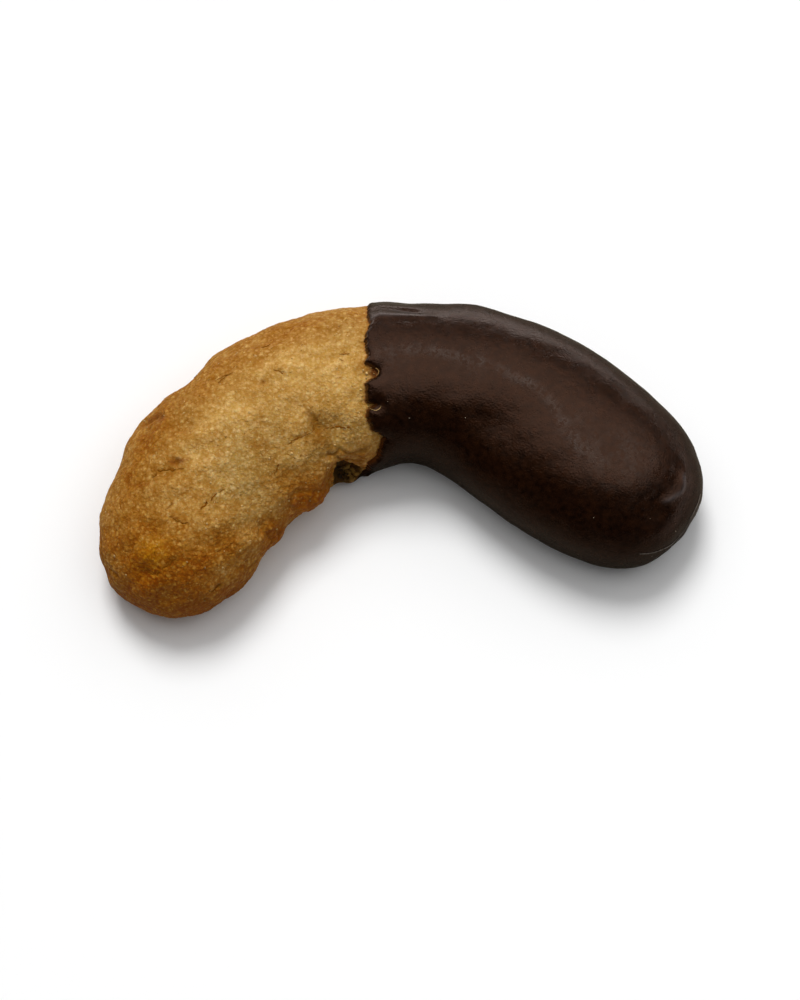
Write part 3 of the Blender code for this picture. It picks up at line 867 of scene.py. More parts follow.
# ---- The coat's face -------------------------------------------------------------------
def coat_face(along, turn, settings):
    """The chocolate's outer face and the shares that colour it.

    The roll grown by the wall, whose rim is a quarter round; then its lumps, its folds and the foot
    that sank to the tray, which goes straight out and fades with height.
    """
    points, normals = smooth_roll(along, turn)
    beyond = distance_from_dip_line(points, along, turn)
    inside = np.clip(beyond, 0, None)
    wall = COAT_LIP + (COAT_THICKNESS - COAT_LIP) * np.sqrt(np.clip(inside / LIP_RUN, 0, 1))
    rim = np.clip(inside * MM / settings.rim_round, 0, 1)
    wall = wall * np.sqrt(1 - (1 - rim) ** 2)
    wall = wall * (1 - TONGUE_THIN * ease(TONGUE_X - points[..., 0]))
    away = ease(inside / LIP_RUN)
    settled = ease(inside / SETTLE_RUN)
    uneven = bells(points, COAT_LUMPS) * away
    uneven += (COAT_WAVE_SHARE * settled + RIM_WAVE_SHARE * (1 - settled)) * crags(points)
    for half_width, rise, places_along in COAT_FOLDS:
        uneven += away * rise * furrow(points, path_on_roll(places_along), half_width)
    uneven += ripples(points, COAT_WAVES) * away
    # Scuffing along the crest: its rise is relief, its pale colour partly painted sheen.
    half_width, rise, places_along = SCUFF_AND_SHEEN_LINE
    scuff_and_sheen = furrow(points, path_on_roll(places_along), half_width)
    uneven += rise * scuff_and_sheen
    scuff_and_sheen = np.clip(scuff_and_sheen + bells(points, SCUFF_AND_SHEEN_PATCHES), 0, 1)
    face = points + (wall + uneven - RIM_SINK * (1 - rim))[..., None] * normals
    face[..., 2] = flattened(face[..., 2], 0)
    outward = normals.copy()
    outward[..., 2] = 0
    soft_foot = ease(1 - face[..., 2] / FOOT_HEIGHT)
    crisp_foot = np.sqrt(np.clip(1 - (face[..., 2] / CRISP_FOOT_HEIGHT) ** 2, 0, 1))
    crisp = np.zeros(along.shape)
    for x, y, reach in CRISP_FOOTS:
        crisp = np.maximum(crisp, ease(2 - np.hypot(points[..., 0] - x, points[..., 1] - y) / reach))
    x, y, reach, further = SKIRT
    apart = np.hypot(points[..., 0] - x, points[..., 1] - y)
    run_out = FOOT_REACH + further * np.exp(-((apart / reach) ** 2))
    foot = (soft_foot + crisp * (crisp_foot - soft_foot)) * away * run_out
    face = face + foot[..., None] * outward
    fringe = THIN_FRINGE + FRINGE_SWAY * soft_noise(points, 0.5, 83)
    thin = np.exp(-((inside / fringe) ** 2)) * (1 - ease(TONGUE_X + 1 - points[..., 0]))
    # Painted highlights on the ridges of the folds.
    painted_highlight = np.zeros(along.shape)
    for half_width, places_along in PAINTED_HIGHLIGHT_LINES:
        painted_highlight = np.maximum(painted_highlight, furrow(points, path_on_roll(places_along), half_width))
    return face, {"thin": thin, "scuff_and_sheen": scuff_and_sheen, "painted_highlight": painted_highlight}


def coat_inner(along, turn):
    """The chocolate's inner skin: sunk in the dough at the rim and clear of it further in."""
    points, normals = smooth_roll(along, turn)
    beyond = np.clip(along - dip_line_along(turn), 0, None)
    offset = -INNER_SINK + (GAP + INNER_SINK) * ease(beyond / 2.5)
    points = points + offset[..., None] * normals
    points[..., 2] = flattened(points[..., 2], COAT_FLOOR)
    return points


# ---- Meshes ----------------------------------------------------------------------------
def frame_shift(settings):
    """What the frame adds to the form's coordinates, which put their zero at the bend.

    The coat's furthest points to +X and +Y are set against the corner of its box.
    """
    turn = turns(90, 0.4)
    edge = dip_line_along(turn)
    face, _ = coat_face(*places(edge, 0 * edge + ROLL_LENGTH, turn, 80), settings)
    _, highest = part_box("coat")
    return np.array([highest.x / MM - face[..., 0].max(), highest.y / MM - face[..., 1].max(), 0.0])


def closed_faces(rings, around):
    """Faces of one closed body: quads between the rings, and a fan to a pole at each end."""
    near = np.arange(around)
    far = (near + 1) % around
    start = np.arange(rings - 1)[:, None] * around
    quads = np.stack([start + near, start + far, start + around + far, start + around + near], axis=-1)
    first_pole, last_pole = rings * around, rings * around + 1
    last = (rings - 1) * around
    fans = np.concatenate([
        np.stack([np.full(around, first_pole), far, near], axis=1),
        np.stack([np.full(around, last_pole), last + near, last + far], axis=1),
    ])
    return quads.reshape(-1, 4), fans


def add_mesh(name, points, faces, colours, material):
    """A smooth-shaded mesh from points in millimetres, with one float attribute for each colour share."""
    mesh = bpy.data.meshes.new(name)
    mesh.from_pydata((points * MM).tolist(), [], faces)
    for label, values in colours.items():
        layer = mesh.attributes.new(label, "FLOAT", "POINT")
        layer.data.foreach_set("value", np.ascontiguousarray(values, dtype=np.float32).ravel())
    mesh.shade_smooth()
    mesh.materials.append(material)
    thing = bpy.data.objects.new(name, mesh)
    bpy.context.scene.collection.objects.link(thing)
    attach(thing, "root")
    return thing


def add_shell(name, rings, colours, material):
    """A closed mesh through the rings, whose first and last are each drawn into one point."""
    count, around = rings.shape[:2]

    def with_poles(values):
        """The rings between the two ends, and the middle of each end."""
        body = values[1:-1].reshape((-1,) + values.shape[2:])
        return np.concatenate([body, values[0].mean(axis=0)[None], values[-1].mean(axis=0)[None]])

    quads, fans = closed_faces(count - 2, around)
    shares = {label: with_poles(values) for label, values in colours.items()}
    return add_mesh(name, with_poles(rings), quads.tolist() + fans.tolist(), shares, material)


def add_bits(name, centres, radii, tone, draw, seed, material, rings=4, around=7, rough=0.22):
    """One mesh of many lumpy bits, with a tone for each.

    Each is a ball of a few rings, whose radius varies at random from point to point, stretched
    by its three radii along three axes that are turned at random.
    """
    count = len(centres)
    axes, _ = np.linalg.qr(draw.normal(size=(count, 3, 3)))
    axes *= np.sign(np.linalg.det(axes))[:, None, None]
    polar = np.pi * np.arange(1, rings + 1) / (rings + 1)
    turn = 2 * np.pi * np.arange(around) / around
    polar, turn = np.meshgrid(polar, turn, indexing="ij")
    ball = np.stack([np.sin(polar) * np.cos(turn), np.sin(polar) * np.sin(turn), np.cos(polar)], axis=-1)
    ball = np.concatenate([ball.reshape(-1, 3), [(0, 0, 1.0), (0, 0, -1.0)]])
    lumps = np.random.default_rng(seed)
    lumpy = ball[None] * lumps.uniform(1 - rough, 1 + rough, (count, len(ball), 1))
    points = centres[:, None] + lumpy @ (axes * radii[..., None])
    start = (np.arange(count) * len(ball))[:, None, None]
    faces = []
    for patch in closed_faces(rings, around):
        faces += (patch[:, ::-1] + start).reshape(-1, patch.shape[1]).tolist()
    tones = {"tone": np.repeat(tone, len(ball))}
    return add_mesh(name, points.reshape(-1, 3), faces, tones, material)


def tapered(half_width, count, seed, unevenness=1.5):
    """Half widths along a sliver: uneven, and running out to a point at both ends."""
    part = np.linspace(0, 1, count)
    place = np.stack([part * count * CRACK_STEP, 0 * part, 0 * part + 5.3 * seed], axis=-1)
    uneven = np.clip(0.7 + unevenness * soft_noise(place, 0.4, 93), 0.1, None)
    return half_width * np.sqrt(np.sin(np.pi * part) + 0.02) * uneven


def raised(face, along, turn, lift):
    """The face's points moved out by the lift, and the roll's normals there."""
    _, normals = smooth_roll(along, np.radians(turn))
    return face + lift * normals, normals


def add_slivers(name, lines, colours, material, around=6):
    """One mesh of many closed slivers, each an oval carried along its line.

    A line has its points with the normals there, half its width at each, and half its thickness.
    """
    turn = 2 * np.pi * np.arange(around)[:, None] / around
    points, faces, sizes = [], [], []
    for (middles, normals), half_widths, half_thickness in lines:
        across = np.cross(normals, np.gradient(middles, axis=0))
        across *= (half_widths / np.linalg.norm(across, axis=1))[:, None]
        rings = middles[:, None] + np.cos(turn) * across[:, None]
        rings = rings + np.sin(turn) * half_thickness * normals[:, None]
        for patch in closed_faces(len(middles) - 2, around):
            faces += (patch + sum(sizes)).tolist()
        points.append(np.concatenate([rings[1:-1].reshape(-1, 3), middles[:1], middles[-1:]]))
        sizes.append(len(points[-1]))
    shares = {label: np.repeat(values, sizes) for label, values in colours.items()}
    return add_mesh(name, np.concatenate(points), faces, shares, material)


# ---- Materials -------------------------------------------------------------------------
def add_node(tree, kind, sockets=None, **settings):
    """A node with its settings made and its sockets set to a value or joined to another's output."""
    node = tree.nodes.new(kind)
    for label, value in settings.items():
        setattr(node, label, value)
    for label, value in (sockets or {}).items():
        if isinstance(value, bpy.types.NodeSocket):
            tree.links.new(value, node.inputs[label])
        else:
            node.inputs[label].default_value = value
    return node


def reckon(tree, operation, first, second=0.0, clamp=False):
    """Two values put together by a math node."""
    node = add_node(tree, "ShaderNodeMath", {0: first, 1: second}, operation=operation, use_clamp=clamp)
    return node.outputs[0]


def plus(tree, first, second, clamp=False):
    """The sum of two values."""
    return reckon(tree, "ADD", first, second, clamp)


def times(tree, first, second):
    """The product of two values."""
    return reckon(tree, "MULTIPLY", first, second)


def blend(tree, amount, first, second, blend_type="MIX"):
    """Colour blend by the amount; a colour is a tuple of three or another node's output."""
    first, second = (c if isinstance(c, bpy.types.NodeSocket) else (*c, 1.0) for c in (first, second))
    sockets = {0: amount, 6: first, 7: second}
    return add_node(tree, "ShaderNodeMix", sockets, data_type="RGBA", blend_type=blend_type).outputs[2]


def grey(tree, value):
    """The value as a grey colour."""
    return add_node(tree, "ShaderNodeCombineColor", {0: value, 1: value, 2: value}).outputs[0]


def attribute(tree, name):
    """The share of that name that the mesh holds at each of its points."""
    return add_node(tree, "ShaderNodeAttribute", attribute_name=name).outputs["Fac"]


def laid_over(tree, colour, label, amount, over):
    """The colour with another laid over it, by the amount times the surface's share of that name."""
    return blend(tree, times(tree, attribute(tree, label), amount), colour, tuple(over))


def spread(tree, value, low, high, to_low=0.0, to_high=1.0):
    """Maps low to high onto another range and stops at its ends."""
    sockets = {"Value": value, "From Min": low, "From Max": high, "To Min": to_low, "To Max": to_high}
    return add_node(tree, "ShaderNodeMapRange", sockets, clamp=True).outputs["Result"]


def noise(tree, place, millimetres, detail=2.0, output="Fac"):
    """Soft noise with blotches of about that width."""
    sockets = {"Vector": place, "Scale": 1 / (millimetres * MM), "Detail": detail}
    return add_node(tree, "ShaderNodeTexNoise", sockets).outputs[output]


def cells(tree, place, millimetres):
    """Cell pattern: distance to the cell's middle, and one random number for each cell."""
    voronoi = add_node(tree, "ShaderNodeTexVoronoi", {"Vector": place, "Scale": 1 / (millimetres * MM)})
    number = add_node(tree, "ShaderNodeSeparateColor", {"Color": voronoi.outputs["Color"]})
    return voronoi.outputs["Distance"], number.outputs[0]


def jittered(tree, place, millimetres, reach):
    """The place moved at random by up to about the reach, changing over the given distance."""
    moved = noise(tree, place, millimetres, 1.0, "Color")
    steps = {"SUBTRACT": (1, (0.5, 0.5, 0.5)), "SCALE": ("Scale", 2 * reach * MM), "ADD": (1, place)}
    for operation, (label, value) in steps.items():
        sockets = {0: moved, label: value}
        moved = add_node(tree, "ShaderNodeVectorMath", sockets, operation=operation).outputs[0]
    return moved


def start_material(name, finish):
    """A node material with the shader's plain values: it, its tree, shader and own coordinates."""
    material = bpy.data.materials.new(name)
    material.use_nodes = True
    tree = material.node_tree
    shader = tree.nodes["Principled BSDF"]
    for label, value in finish.items():
        shader.inputs[label].default_value = value
    place = add_node(tree, "ShaderNodeTexCoord").outputs["Object"]
    return material, tree, shader, place


def add_bump(tree, shader, layers):
    """Bump from layers of (height, distance in millimetres), one on top of the other."""
    normal = None
    for height, distance in layers:
        sockets = {"Height": height, "Distance": distance * MM, "Strength": 1.0}
        if normal is not None:
            sockets["Normal"] = normal
        normal = add_node(tree, "ShaderNodeBump", sockets).outputs["Normal"]
    tree.links.new(normal, shader.inputs["Normal"])


# Tones of the crumb's gaps and tops, partly the grain's own and partly painted shade and light, and of the
# broad painted shade, that multiply the crust's colour.
GAP_TONE = (0.80, 0.69, 0.45)
TOP_TONE = (1.10, 1.15, 1.30)
BROWN_GAP_TONE = (0.62, 0.44, 0.14)
BROAD_SHADE_TONE = (0.62, 0.63, 0.60)
# Colours of its single grains on pale and on brown crust, of the painted shade of its pores, and of what is
# laid over it, the painted shade of cuts and hollow among them.
PALE_GRAIN = (0.82, 0.62, 0.32)
BROWN_GRAIN = (0.70, 0.385, 0.035)
PORE_SHADE = (0.10, 0.035, 0.004)
NEAR_BLACK_TONE = (0.080, 0.014, 0.002)
CUT_SHADE_TONE = (0.24, 0.088, 0.005)
HOLLOW_SHADE_TONE = (0.034, 0.014, 0.002)
DOUGH_FINISH = {
    "Specular IOR Level": 0.12,
    "Specular Tint": (1.0, 0.75, 0.42, 1.0),
    "Subsurface Weight": 0.3,
    "Subsurface Radius": (1.0, 0.42, 0.12),
    "Subsurface Scale": 1.0 * MM,
}


def baked_dough(settings):
    """Dough: toast colour from the attribute, crumb by crumb, with stain and fine grit, painted shade in its
    cuts, hollow, pores and broad patches, and a partly painted amber glow.
    """
    material, tree, shader, place = start_material("baked dough", DOUGH_FINISH)
    patches = spread(tree, noise(tree, place, 1.1, 3.0), 0.3, 0.7, -0.12, 0.12)
    brown = plus(tree, attribute(tree, "toast"), patches, clamp=True)
    ramp = add_node(tree, "ShaderNodeValToRGB", {"Fac": brown})
    stops = ((0.0, settings.pale), (0.33, settings.golden), (0.66, settings.toasted), (1.0, settings.dark))
    while len(ramp.color_ramp.elements) < len(stops):
        ramp.color_ramp.elements.new(0.5)
    for element, (position, colour) in zip(ramp.color_ramp.elements, stops):
        element.position = position
        element.color = (*colour, 1.0)
    colour = laid_over(tree, ramp.outputs["Color"], "blister", 0.85, settings.butter)
    # Amber: partly browner crust, partly a painted glow.
    colour = laid_over(tree, colour, "amber", 0.85, settings.amber)
    # Broad painted shade, darkening the colour evenly.
    colour = blend(tree, attribute(tree, "broad_painted_shade"), colour, BROAD_SHADE_TONE, "MULTIPLY")

    wander = jittered(tree, place, 0.4, 0.22)
    apart, _ = cells(tree, wander, 0.5)
    clod = spread(tree, apart, 0.1, 0.65, 1.0, 0.0)
    mottle = spread(tree, noise(tree, place, 0.45, 4.0), 0.34, 0.66)
    light = plus(tree, times(tree, clod, 0.4), times(tree, mottle, 0.6))
    # The crumb's height lightens its tops and darkens its gaps: painted light and shade over the grain's own
    # tones.
    standing = spread(tree, attribute(tree, "crumb"), -0.3, 1.0, -0.35, 0.3)
    light = plus(tree, light, standing, clamp=True)
    gaps = blend(tree, 1.0, colour, blend(tree, brown, GAP_TONE, BROWN_GAP_TONE), "MULTIPLY")
    tops = blend(tree, 1.0, colour, TOP_TONE, "MULTIPLY")
    colour = blend(tree, light, gaps, tops)
    grain_colour = blend(tree, brown, PALE_GRAIN, BROWN_GRAIN)
    for size, amount in ((0.75, 0.36), (0.4, 0.30)):
        apart, number = cells(tree, wander, size)
        soft_ball = spread(tree, apart, 0.12, 0.5, amount, 0.0)
        grain = times(tree, spread(tree, number, 0.45, 0.95), soft_ball)
        colour = blend(tree, grain, colour, grain_colour)
    # Painted shade of tiny pores: dark dots with no holes under them.
    apart, number = cells(tree, wander, 1.3)
    pore_shade = times(tree, spread(tree, number, 0.3, 0.5), spread(tree, apart, 0.05, 0.13, 0.7, 0.0))
    colour = blend(tree, pore_shade, colour, PORE_SHADE)

    colour = laid_over(tree, colour, "stain", 0.8, settings.stain)
    # Near-black patches by the dip line, along a crease and in the walnut fleck.
    colour = laid_over(tree, colour, "near_black", 0.9, NEAR_BLACK_TONE)
    # Painted shade in the creases, cracks and pits.
    colour = laid_over(tree, colour, "painted_cut_shade", 0.8, CUT_SHADE_TONE)
    # Painted shade in the hollow.
    colour = laid_over(tree, colour, "hollow", 0.92, HOLLOW_SHADE_TONE)
    tree.links.new(colour, shader.inputs["Base Color"])
    dullness = spread(tree, noise(tree, place, 0.5, 2.0), 0.3, 0.7, 0.50, 0.78)
    tree.links.new(dullness, shader.inputs["Roughness"])
    add_bump(tree, shader, ((clod, 0.08), (noise(tree, place, 0.22, 3.0), 0.08)))
    return material


def dark_chocolate(settings):
    """Chocolate: near black, with a warm gleam, thin and red at the rim, scuffed along its crest with pale
    bloom that is partly painted sheen, and painted highlights on the ridges of its folds.
    """
    finish = {"Specular IOR Level": 0.36, "Specular Tint": (*settings.gleam, 1.0)}
    material, tree, shader, place = start_material("dark chocolate", finish)
    middle = reckon(tree, "SUBTRACT", noise(tree, jittered(tree, place, 0.8, 0.3), 0.6, 3.0), 0.5)
    scratch = spread(tree, reckon(tree, "ABSOLUTE", middle), 0.0, 0.03, 0.9, 0.0)
    cloud = spread(tree, noise(tree, place, 2.4, 5.0), 0.42, 0.58)
    dust = spread(tree, noise(tree, place, 0.6, 5.0), 0.4, 0.7, 0.05, 0.55)
    haze = times(tree, plus(tree, scratch, dust), spread(tree, cloud, 0.0, 1.0, 0.3, 1.0))
    # Scuffing and bloom along the crest, partly painted sheen.
    worn_and_sheen = times(tree, attribute(tree, "scuff_and_sheen"), haze)
    blotch = spread(tree, noise(tree, place, 0.9, 5.0), 0.3, 0.7, 0.4, 1.7)
    base = blend(tree, 1.0, tuple(settings.chocolate), grey(tree, blotch), "MULTIPLY")
    colour = blend(tree, times(tree, worn_and_sheen, 0.8), base, tuple(settings.bloom_and_sheen))
    # Painted highlights on the fold ridges.
    colour = laid_over(tree, colour, "painted_highlight", 0.55, settings.painted_highlight)
    colour = laid_over(tree, colour, "thin", 0.8, settings.thin)
    tree.links.new(colour, shader.inputs["Base Color"])
    least, most = settings.roughness - 0.05, settings.roughness + 0.05
    rough = spread(tree, noise(tree, place, 3.0, 4.0), 0.3, 0.7, least, most)
    tree.links.new(plus(tree, rough, times(tree, worn_and_sheen, 0.18)), shader.inputs["Roughness"])
    dots, _ = cells(tree, place, 1.3)
    dents = spread(tree, dots, 0.03, 0.09)
    ripple, grit = noise(tree, place, 1.1, 4.0), noise(tree, place, 0.25, 3.0)
    add_bump(tree, shader, ((ripple, 0.06), (grit, 0.06), (dents, 0.02)))
    return material


def crumb_finish(name, base, dark):
    """Loose crumbs: one tone for each bit between the two colours, by its attribute, with fine grit."""
    material, tree, shader, place = start_material(name, {"Roughness": 0.6, "Specular IOR Level": 0.15})
    grit = spread(tree, noise(tree, place, 0.2), 0.3, 0.7, -0.15, 0.15)
    tone = plus(tree, attribute(tree, "tone"), grit, clamp=True)
    tree.links.new(blend(tree, tone, tuple(base), tuple(dark)), shader.inputs["Base Color"])
    add_bump(tree, shader, ((noise(tree, place, 0.1), 0.02),))
    return material


def plain_finish(name, colour, roughness, gloss):
    """A material of one even colour."""
    finish = {"Base Color": (*colour, 1.0), "Roughness": roughness, "Specular IOR Level": gloss}
    return start_material(name, finish)[0]


# ---- Operators -------------------------------------------------------------------------
class CRESCENT_OT_dough(bpy.types.Operator):
    """Make the baked dough in place of its plain solid"""

    bl_idname = "crescent.dough"
    bl_label = "Baked dough"

    def execute(self, context):
        settings = context.scene.crescent_dough
        turn = turns(settings.around, 0.22)
        edge = dip_line_along(turn)
        bare, bare_turn = places(0 * edge, edge, turn, settings.bare_rings)
        hidden, hidden_turn = places(edge, 0 * edge + ROLL_LENGTH, turn, settings.hidden_rings, 0.25, 1.5)
        along = np.concatenate([bare, hidden[1:]])
        face, colours = dough_face(along, np.concatenate([bare_turn, hidden_turn[1:]]), settings)
        shift = frame_shift(context.scene.crescent_coat)
        dough = add_shell("dough", face + shift, colours, baked_dough(settings))
        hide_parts("cookie")

        # Dark slivers laid in the cracks: painted shade of their depth.
        lines = []
        for seed, (half_width, (along, turn)) in enumerate(crack_courses()):
            face, _ = dough_face(along, np.radians(turn), settings)
            widths = tapered(half_width, len(along), seed)
            lines.append((raised(face + shift, along, turn, 0.07), widths, 0.05))
        add_slivers("cracks", lines, {}, plain_finish("crack", settings.crack, 0.9, 0.05))
        return {"FINISHED"}


class CRESCENT_OT_coat(bpy.types.Operator):
    """Make the chocolate coat in place of its plain solid"""

    bl_idname = "crescent.coat"
    bl_label = "Chocolate coat"

    def execute(self, context):
        settings = context.scene.crescent_coat
        turn = turns(settings.around, 0.15)
        edge = dip_line_along(turn)
        tip = 0 * edge + ROLL_LENGTH
        outer, colours = coat_face(*places(edge, tip, turn, settings.rings, 0.3, 1.5), settings)
        inner = coat_inner(*places(edge, tip, turn, 24))
        shift = frame_shift(settings)
        rings = np.concatenate([inner[::-1], outer]) + shift
        shares = {
            label: np.concatenate([np.zeros(inner.shape[:2]), values]) for label, values in colours.items()
        }
        coat = add_shell("chocolate", rings, shares, dark_chocolate(settings))
        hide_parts("coat")

        # A pale sliver along the edge over the foot: a painted highlight.
        half_width, corners = FOOT_HIGHLIGHT_LINE
        along, turn = fine_course(corners, 0.02, 400)
        face, _ = coat_face(along, np.radians(turn), settings)
        widths = tapered(half_width, len(along), 401)
        line = (raised(face + shift, along, turn, 0.06), widths, 0.5 * half_width)
        material = plain_finish("foot_highlight_tint", settings.foot_highlight_tint, 0.5, 0.5)
        add_slivers("painted_foot_highlight", [line], {}, material)
        return {"FINISHED"}


class CRESCENT_OT_crumbs(bpy.types.Operator):
    """Scatter grains on the dough, bits in the hollow and the notch, and specks on the chocolate"""

    bl_idname = "crescent.crumbs"
    bl_label = "Crumbs"

    def execute(self, context):
        settings = context.scene.crescent_crumbs
        dough, coat = context.scene.crescent_dough, context.scene.crescent_coat
        shift = frame_shift(coat)
        loose = crumb_finish("loose crumbs", settings.pale, settings.walnut)
        # A shaded copy of the crumb colours for the hollow's crumbs: painted shade.
        shaded = crumb_finish("shaded crumbs", settings.shaded, settings.deepest_crumb_shade)
        dusty = crumb_finish("specks", settings.speck, settings.walnut)
        draw = np.random.default_rng(CRUMB_SEED)

        along = draw.uniform(*GRAIN_RUN, settings.grains)
        turn = np.radians(draw.uniform(*OPEN_TURNS, settings.grains))
        keep = along < dip_line_along(turn) - 0.3
        along, turn = along[keep], turn[keep]
        face, _ = dough_face(along, turn, dough)
        _, normals = smooth_roll(along, turn)
        grain_radius = settings.grain_radius / MM
        face -= 0.5 * grain_radius * normals
        radii = grain_radius * draw.uniform(0.6, 1.5, (len(along), 3))
        tone = draw.uniform(0.0, 0.35, len(along)) + 0.45 * toast(face, along, turn)
        add_bits("grains", face + shift, radii, tone, draw, 29, loose)

        along, turn = np.array(SPECKS, float).T
        face, _ = coat_face(along, np.radians(turn), coat)
        radii = settings.speck_radius / MM * draw.uniform(0.7, 1.5, (len(along), 3))
        add_bits("specks", face + shift, radii, np.full(len(along), 0.05), draw, 31, dusty)

        along = draw.uniform(*HOLLOW_CRUMB_RUN, HOLLOW_CRUMBS)
        turn = np.radians(draw.uniform(*HOLLOW_CRUMB_TURNS, HOLLOW_CRUMBS))
        face, _ = dough_face(along, turn, dough)
        radii = draw.uniform(*HOLLOW_CRUMB_RADII, (HOLLOW_CRUMBS, 3))
        # Painted shade: the hollow's crumbs are darker at the end nearer the bare tip.
        tone = np.clip(1.1 - 0.28 * (along - 39.3) + draw.uniform(-0.25, 0.25, HOLLOW_CRUMBS), 0, 1)
        add_bits("hollow_crumbs", face + shift, radii, tone, draw, 37, shaded, 5, 8, 0.3)

        along, turn, radius, lift, tone = np.array(PLACED_BITS).T
        points, normals = smooth_roll(along, np.radians(turn))
        points = points + (broad_relief(points) + lift)[:, None] * normals
        radii = radius[:, None] * draw.uniform(0.6, 1.4, (len(along), 3))
        add_bits("shards", points + shift, radii, tone, draw, 41, loose, 5, 8, 0.3)

        lines = []
        for seed, (half_width, lift, _, corners) in enumerate(CURLS):
            along, turn = fine_course(corners, 0.03, 200 + seed)
            widths = tapered(half_width, len(along), 300 + seed, 0.4)
            course = raised(place_on_roll(along, turn) + shift, along, turn, lift)
            lines.append((course, widths, 0.7 * half_width))
        tones = {"tone": [tone for _, _, tone, _ in CURLS]}
        add_slivers("curls", lines, tones, loose)
        return {"FINISHED"}


class CRESCENT_OT_stage(bpy.types.Operator):
    """Make the floor, the lights and the camera at the photograph's angle"""

    bl_idname = "crescent.stage"
    bl_label = "Stage"

    def execute(self, context):
        settings = context.scene.crescent_stage
        add_floor(settings)
        add_lights(context.scene, settings)
        add_camera(context.scene)
        return {"FINISHED"}


FLOOR_RADIUS = 3.0
FLOOR_CORNERS = 64
WARM_FLOOR = (1.3, 1.1, 0.85)  # tone of the floor as it shows in the chocolate
SEEN_ROOM = 0.9  # brightness of the room behind the floor
MIRRORED_ROOM = 0.06  # share of the room's brightness that the chocolate mirrors
CAMERA_PLACE = (0.0, -0.1108, 0.4426)
CAMERA_AIM = (-0.0003, -0.0059, 0.005)
CAMERA_LENS = 111.375
SENSOR = 36.0


def add_floor(settings):
    """A plain disc, which the chocolate mirrors darker and warmer than it is."""
    turn = np.linspace(0, 2 * np.pi, FLOOR_CORNERS, endpoint=False)
    rim = np.stack([np.cos(turn), np.sin(turn), 0 * turn], axis=1) * FLOOR_RADIUS
    mesh = bpy.data.meshes.new("floor")
    mesh.from_pydata(rim.tolist(), [], [range(FLOOR_CORNERS)])
    finish = {"Roughness": 0.8, "Specular IOR Level": 0.1}
    material, tree, shader, _ = start_material("floor", finish)
    ray = add_node(tree, "ShaderNodeLightPath")
    mirrored = tuple(settings.mirrored * channel for channel in WARM_FLOOR)
    colour = blend(tree, ray.outputs["Is Glossy Ray"], tuple(settings.floor), mirrored)
    tree.links.new(colour, shader.inputs["Base Color"])
    mesh.materials.append(material)
    floor = bpy.data.objects.new("floor", mesh)
    bpy.context.scene.collection.objects.link(floor)


def aimed(place, aim):
    """The rotation that points a light or a camera at the place towards the aim."""
    return (Vector(aim) - Vector(place)).to_track_quat("-Z", "Y").to_euler()


def add_light(scene, name, kind, place, aim, strength, glossy=True, diffuse=False, **settings):
    """A light, with whether polished and whether matt surfaces show it."""
    data = bpy.data.lights.new(name, kind)
    for label, value in {"energy": strength, **settings}.items():
        setattr(data, label, value)
    light = bpy.data.objects.new(name, data)
    light.location = place
    light.rotation_euler = aimed(place, aim)
    light.visible_glossy = glossy
    light.visible_diffuse = diffuse
    light.visible_camera = False
    scene.collection.objects.link(light)


# The cards on the floor: x, y, width, depth, brightness.
CARDS = {"card_behind": (-0.06, 0.28, 0.34, 0.44, 1.0), "card_beside": (0.32, -0.02, 0.44, 0.22, 0.6)}


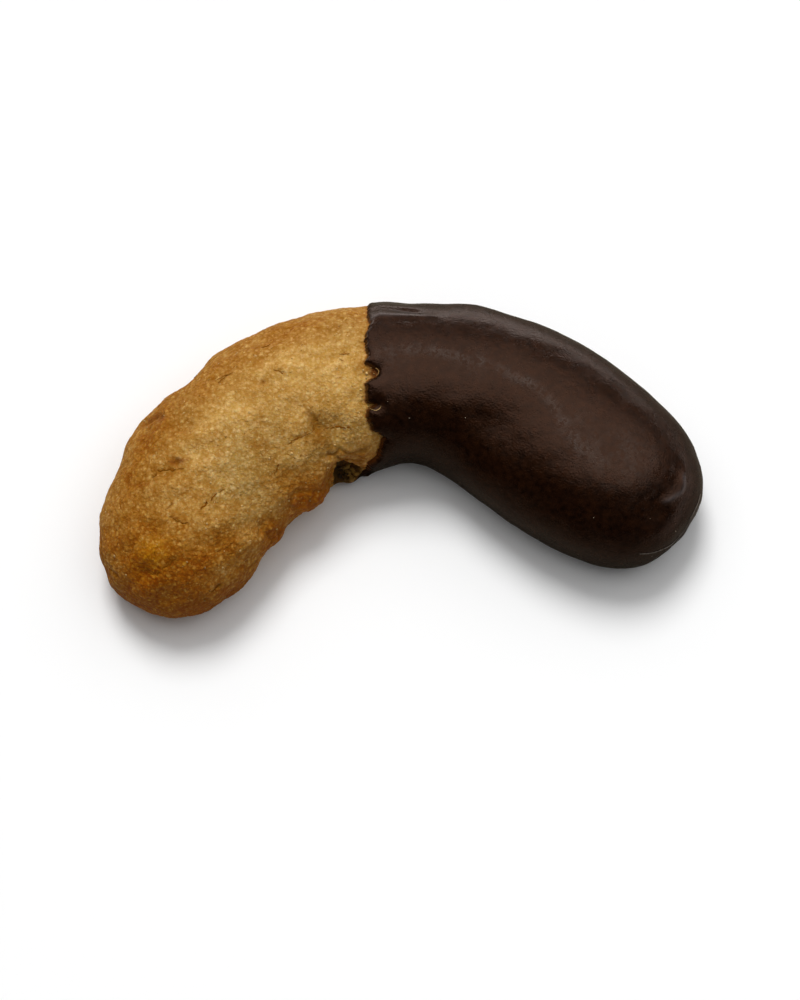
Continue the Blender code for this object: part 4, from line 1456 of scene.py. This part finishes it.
def add_lights(scene, settings):
    """A broad panel behind and above, a softer key from behind, and an even room.

    The cards on the floor, the strip low behind and the card overhead show in the chocolate
    alone, as the bright surroundings of its rim and its crest.
    """
    origin = (0, 0, 0)
    add_light(scene, "panel", "AREA", (0.15, 0.51, 1.09), origin, settings.panel, diffuse=True,
              shape="RECTANGLE", size=2.5, size_y=1.6)
    add_light(scene, "key", "SUN", (-0.14, 0.70, 1.0), origin, settings.key, glossy=False, diffuse=True,
              angle=np.radians(24))
    for name, (x, y, width, depth, brightness) in CARDS.items():
        strength = brightness * settings.card * width * depth
        add_light(scene, name, "AREA", (x, y, 0.001), (x, y, 1), strength,
                  shape="RECTANGLE", size=width, size_y=depth)
    add_light(scene, "strip", "AREA", (0.45, 1.2, 0.36), (0.45, 0, 0.36), settings.strip,
              shape="RECTANGLE", size=3.2, size_y=0.66, color=(1.0, 0.82, 0.68))
    add_light(scene, "top_card", "AREA", (0.1, 0.26, 1.02), origin, settings.top_card,
              shape="RECTANGLE", size=2.2, size_y=1.15, color=(0.95, 1.0, 1.0))

    world = bpy.data.worlds.new("room")
    world.use_nodes = True
    tree = world.node_tree
    room = tree.nodes["Background"]
    room.inputs["Color"].default_value = (1, 1, 1, 1)
    ray = add_node(tree, "ShaderNodeLightPath")
    seen = spread(tree, ray.outputs["Is Camera Ray"], 0.0, 1.0, settings.fill, SEEN_ROOM)
    shade = spread(tree, ray.outputs["Is Glossy Ray"], 0.0, 1.0, 1.0, MIRRORED_ROOM)
    tree.links.new(times(tree, seen, shade), room.inputs["Strength"])
    scene.world = world
    scene.view_settings.view_transform = "Standard"


def add_camera(scene):
    """The camera at the photograph's angle, in front of the crook and high above it."""
    data = bpy.data.cameras.new("camera")
    data.lens = CAMERA_LENS
    data.sensor_width = SENSOR
    camera = bpy.data.objects.new("camera", data)
    camera.location = CAMERA_PLACE
    camera.rotation_euler = aimed(CAMERA_PLACE, CAMERA_AIM)
    scene.collection.objects.link(camera)
    scene.camera = camera


class CRESCENT_PT_panel(bpy.types.Panel):
    """The crescent's pieces and their settings"""

    bl_idname = "CRESCENT_PT_panel"
    bl_label = "Walnut crescent"
    bl_space_type = "VIEW_3D"
    bl_region_type = "UI"
    bl_category = "Crescent"

    def draw(self, context):
        for operator, label, _ in PIECES:
            box = self.layout.box()
            box.operator(operator.bl_idname)
            settings = getattr(context.scene, label)
            for name in settings.__annotations__:
                box.prop(settings, name)


PIECES = (
    (CRESCENT_OT_stage, "crescent_stage", StageSettings),
    (CRESCENT_OT_dough, "crescent_dough", DoughSettings),
    (CRESCENT_OT_coat, "crescent_coat", CoatSettings),
    (CRESCENT_OT_crumbs, "crescent_crumbs", CrumbSettings),
)


def register():
    """Adds the properties, the operators and the panel."""
    for operator, label, group in PIECES:
        bpy.utils.register_class(group)
        setattr(bpy.types.Scene, label, PointerProperty(type=group))
        bpy.utils.register_class(operator)
    bpy.utils.register_class(CRESCENT_PT_panel)


def unregister():
    """Takes them out again."""
    bpy.utils.unregister_class(CRESCENT_PT_panel)
    for operator, label, group in PIECES:
        bpy.utils.unregister_class(operator)
        delattr(bpy.types.Scene, label)
        bpy.utils.unregister_class(group)


def main():
    """Makes the stage and every piece."""
    register()
    bpy.ops.crescent.stage()
    bpy.ops.crescent.dough()
    bpy.ops.crescent.coat()
    bpy.ops.crescent.crumbs()


if __name__ == "__main__":
    main()
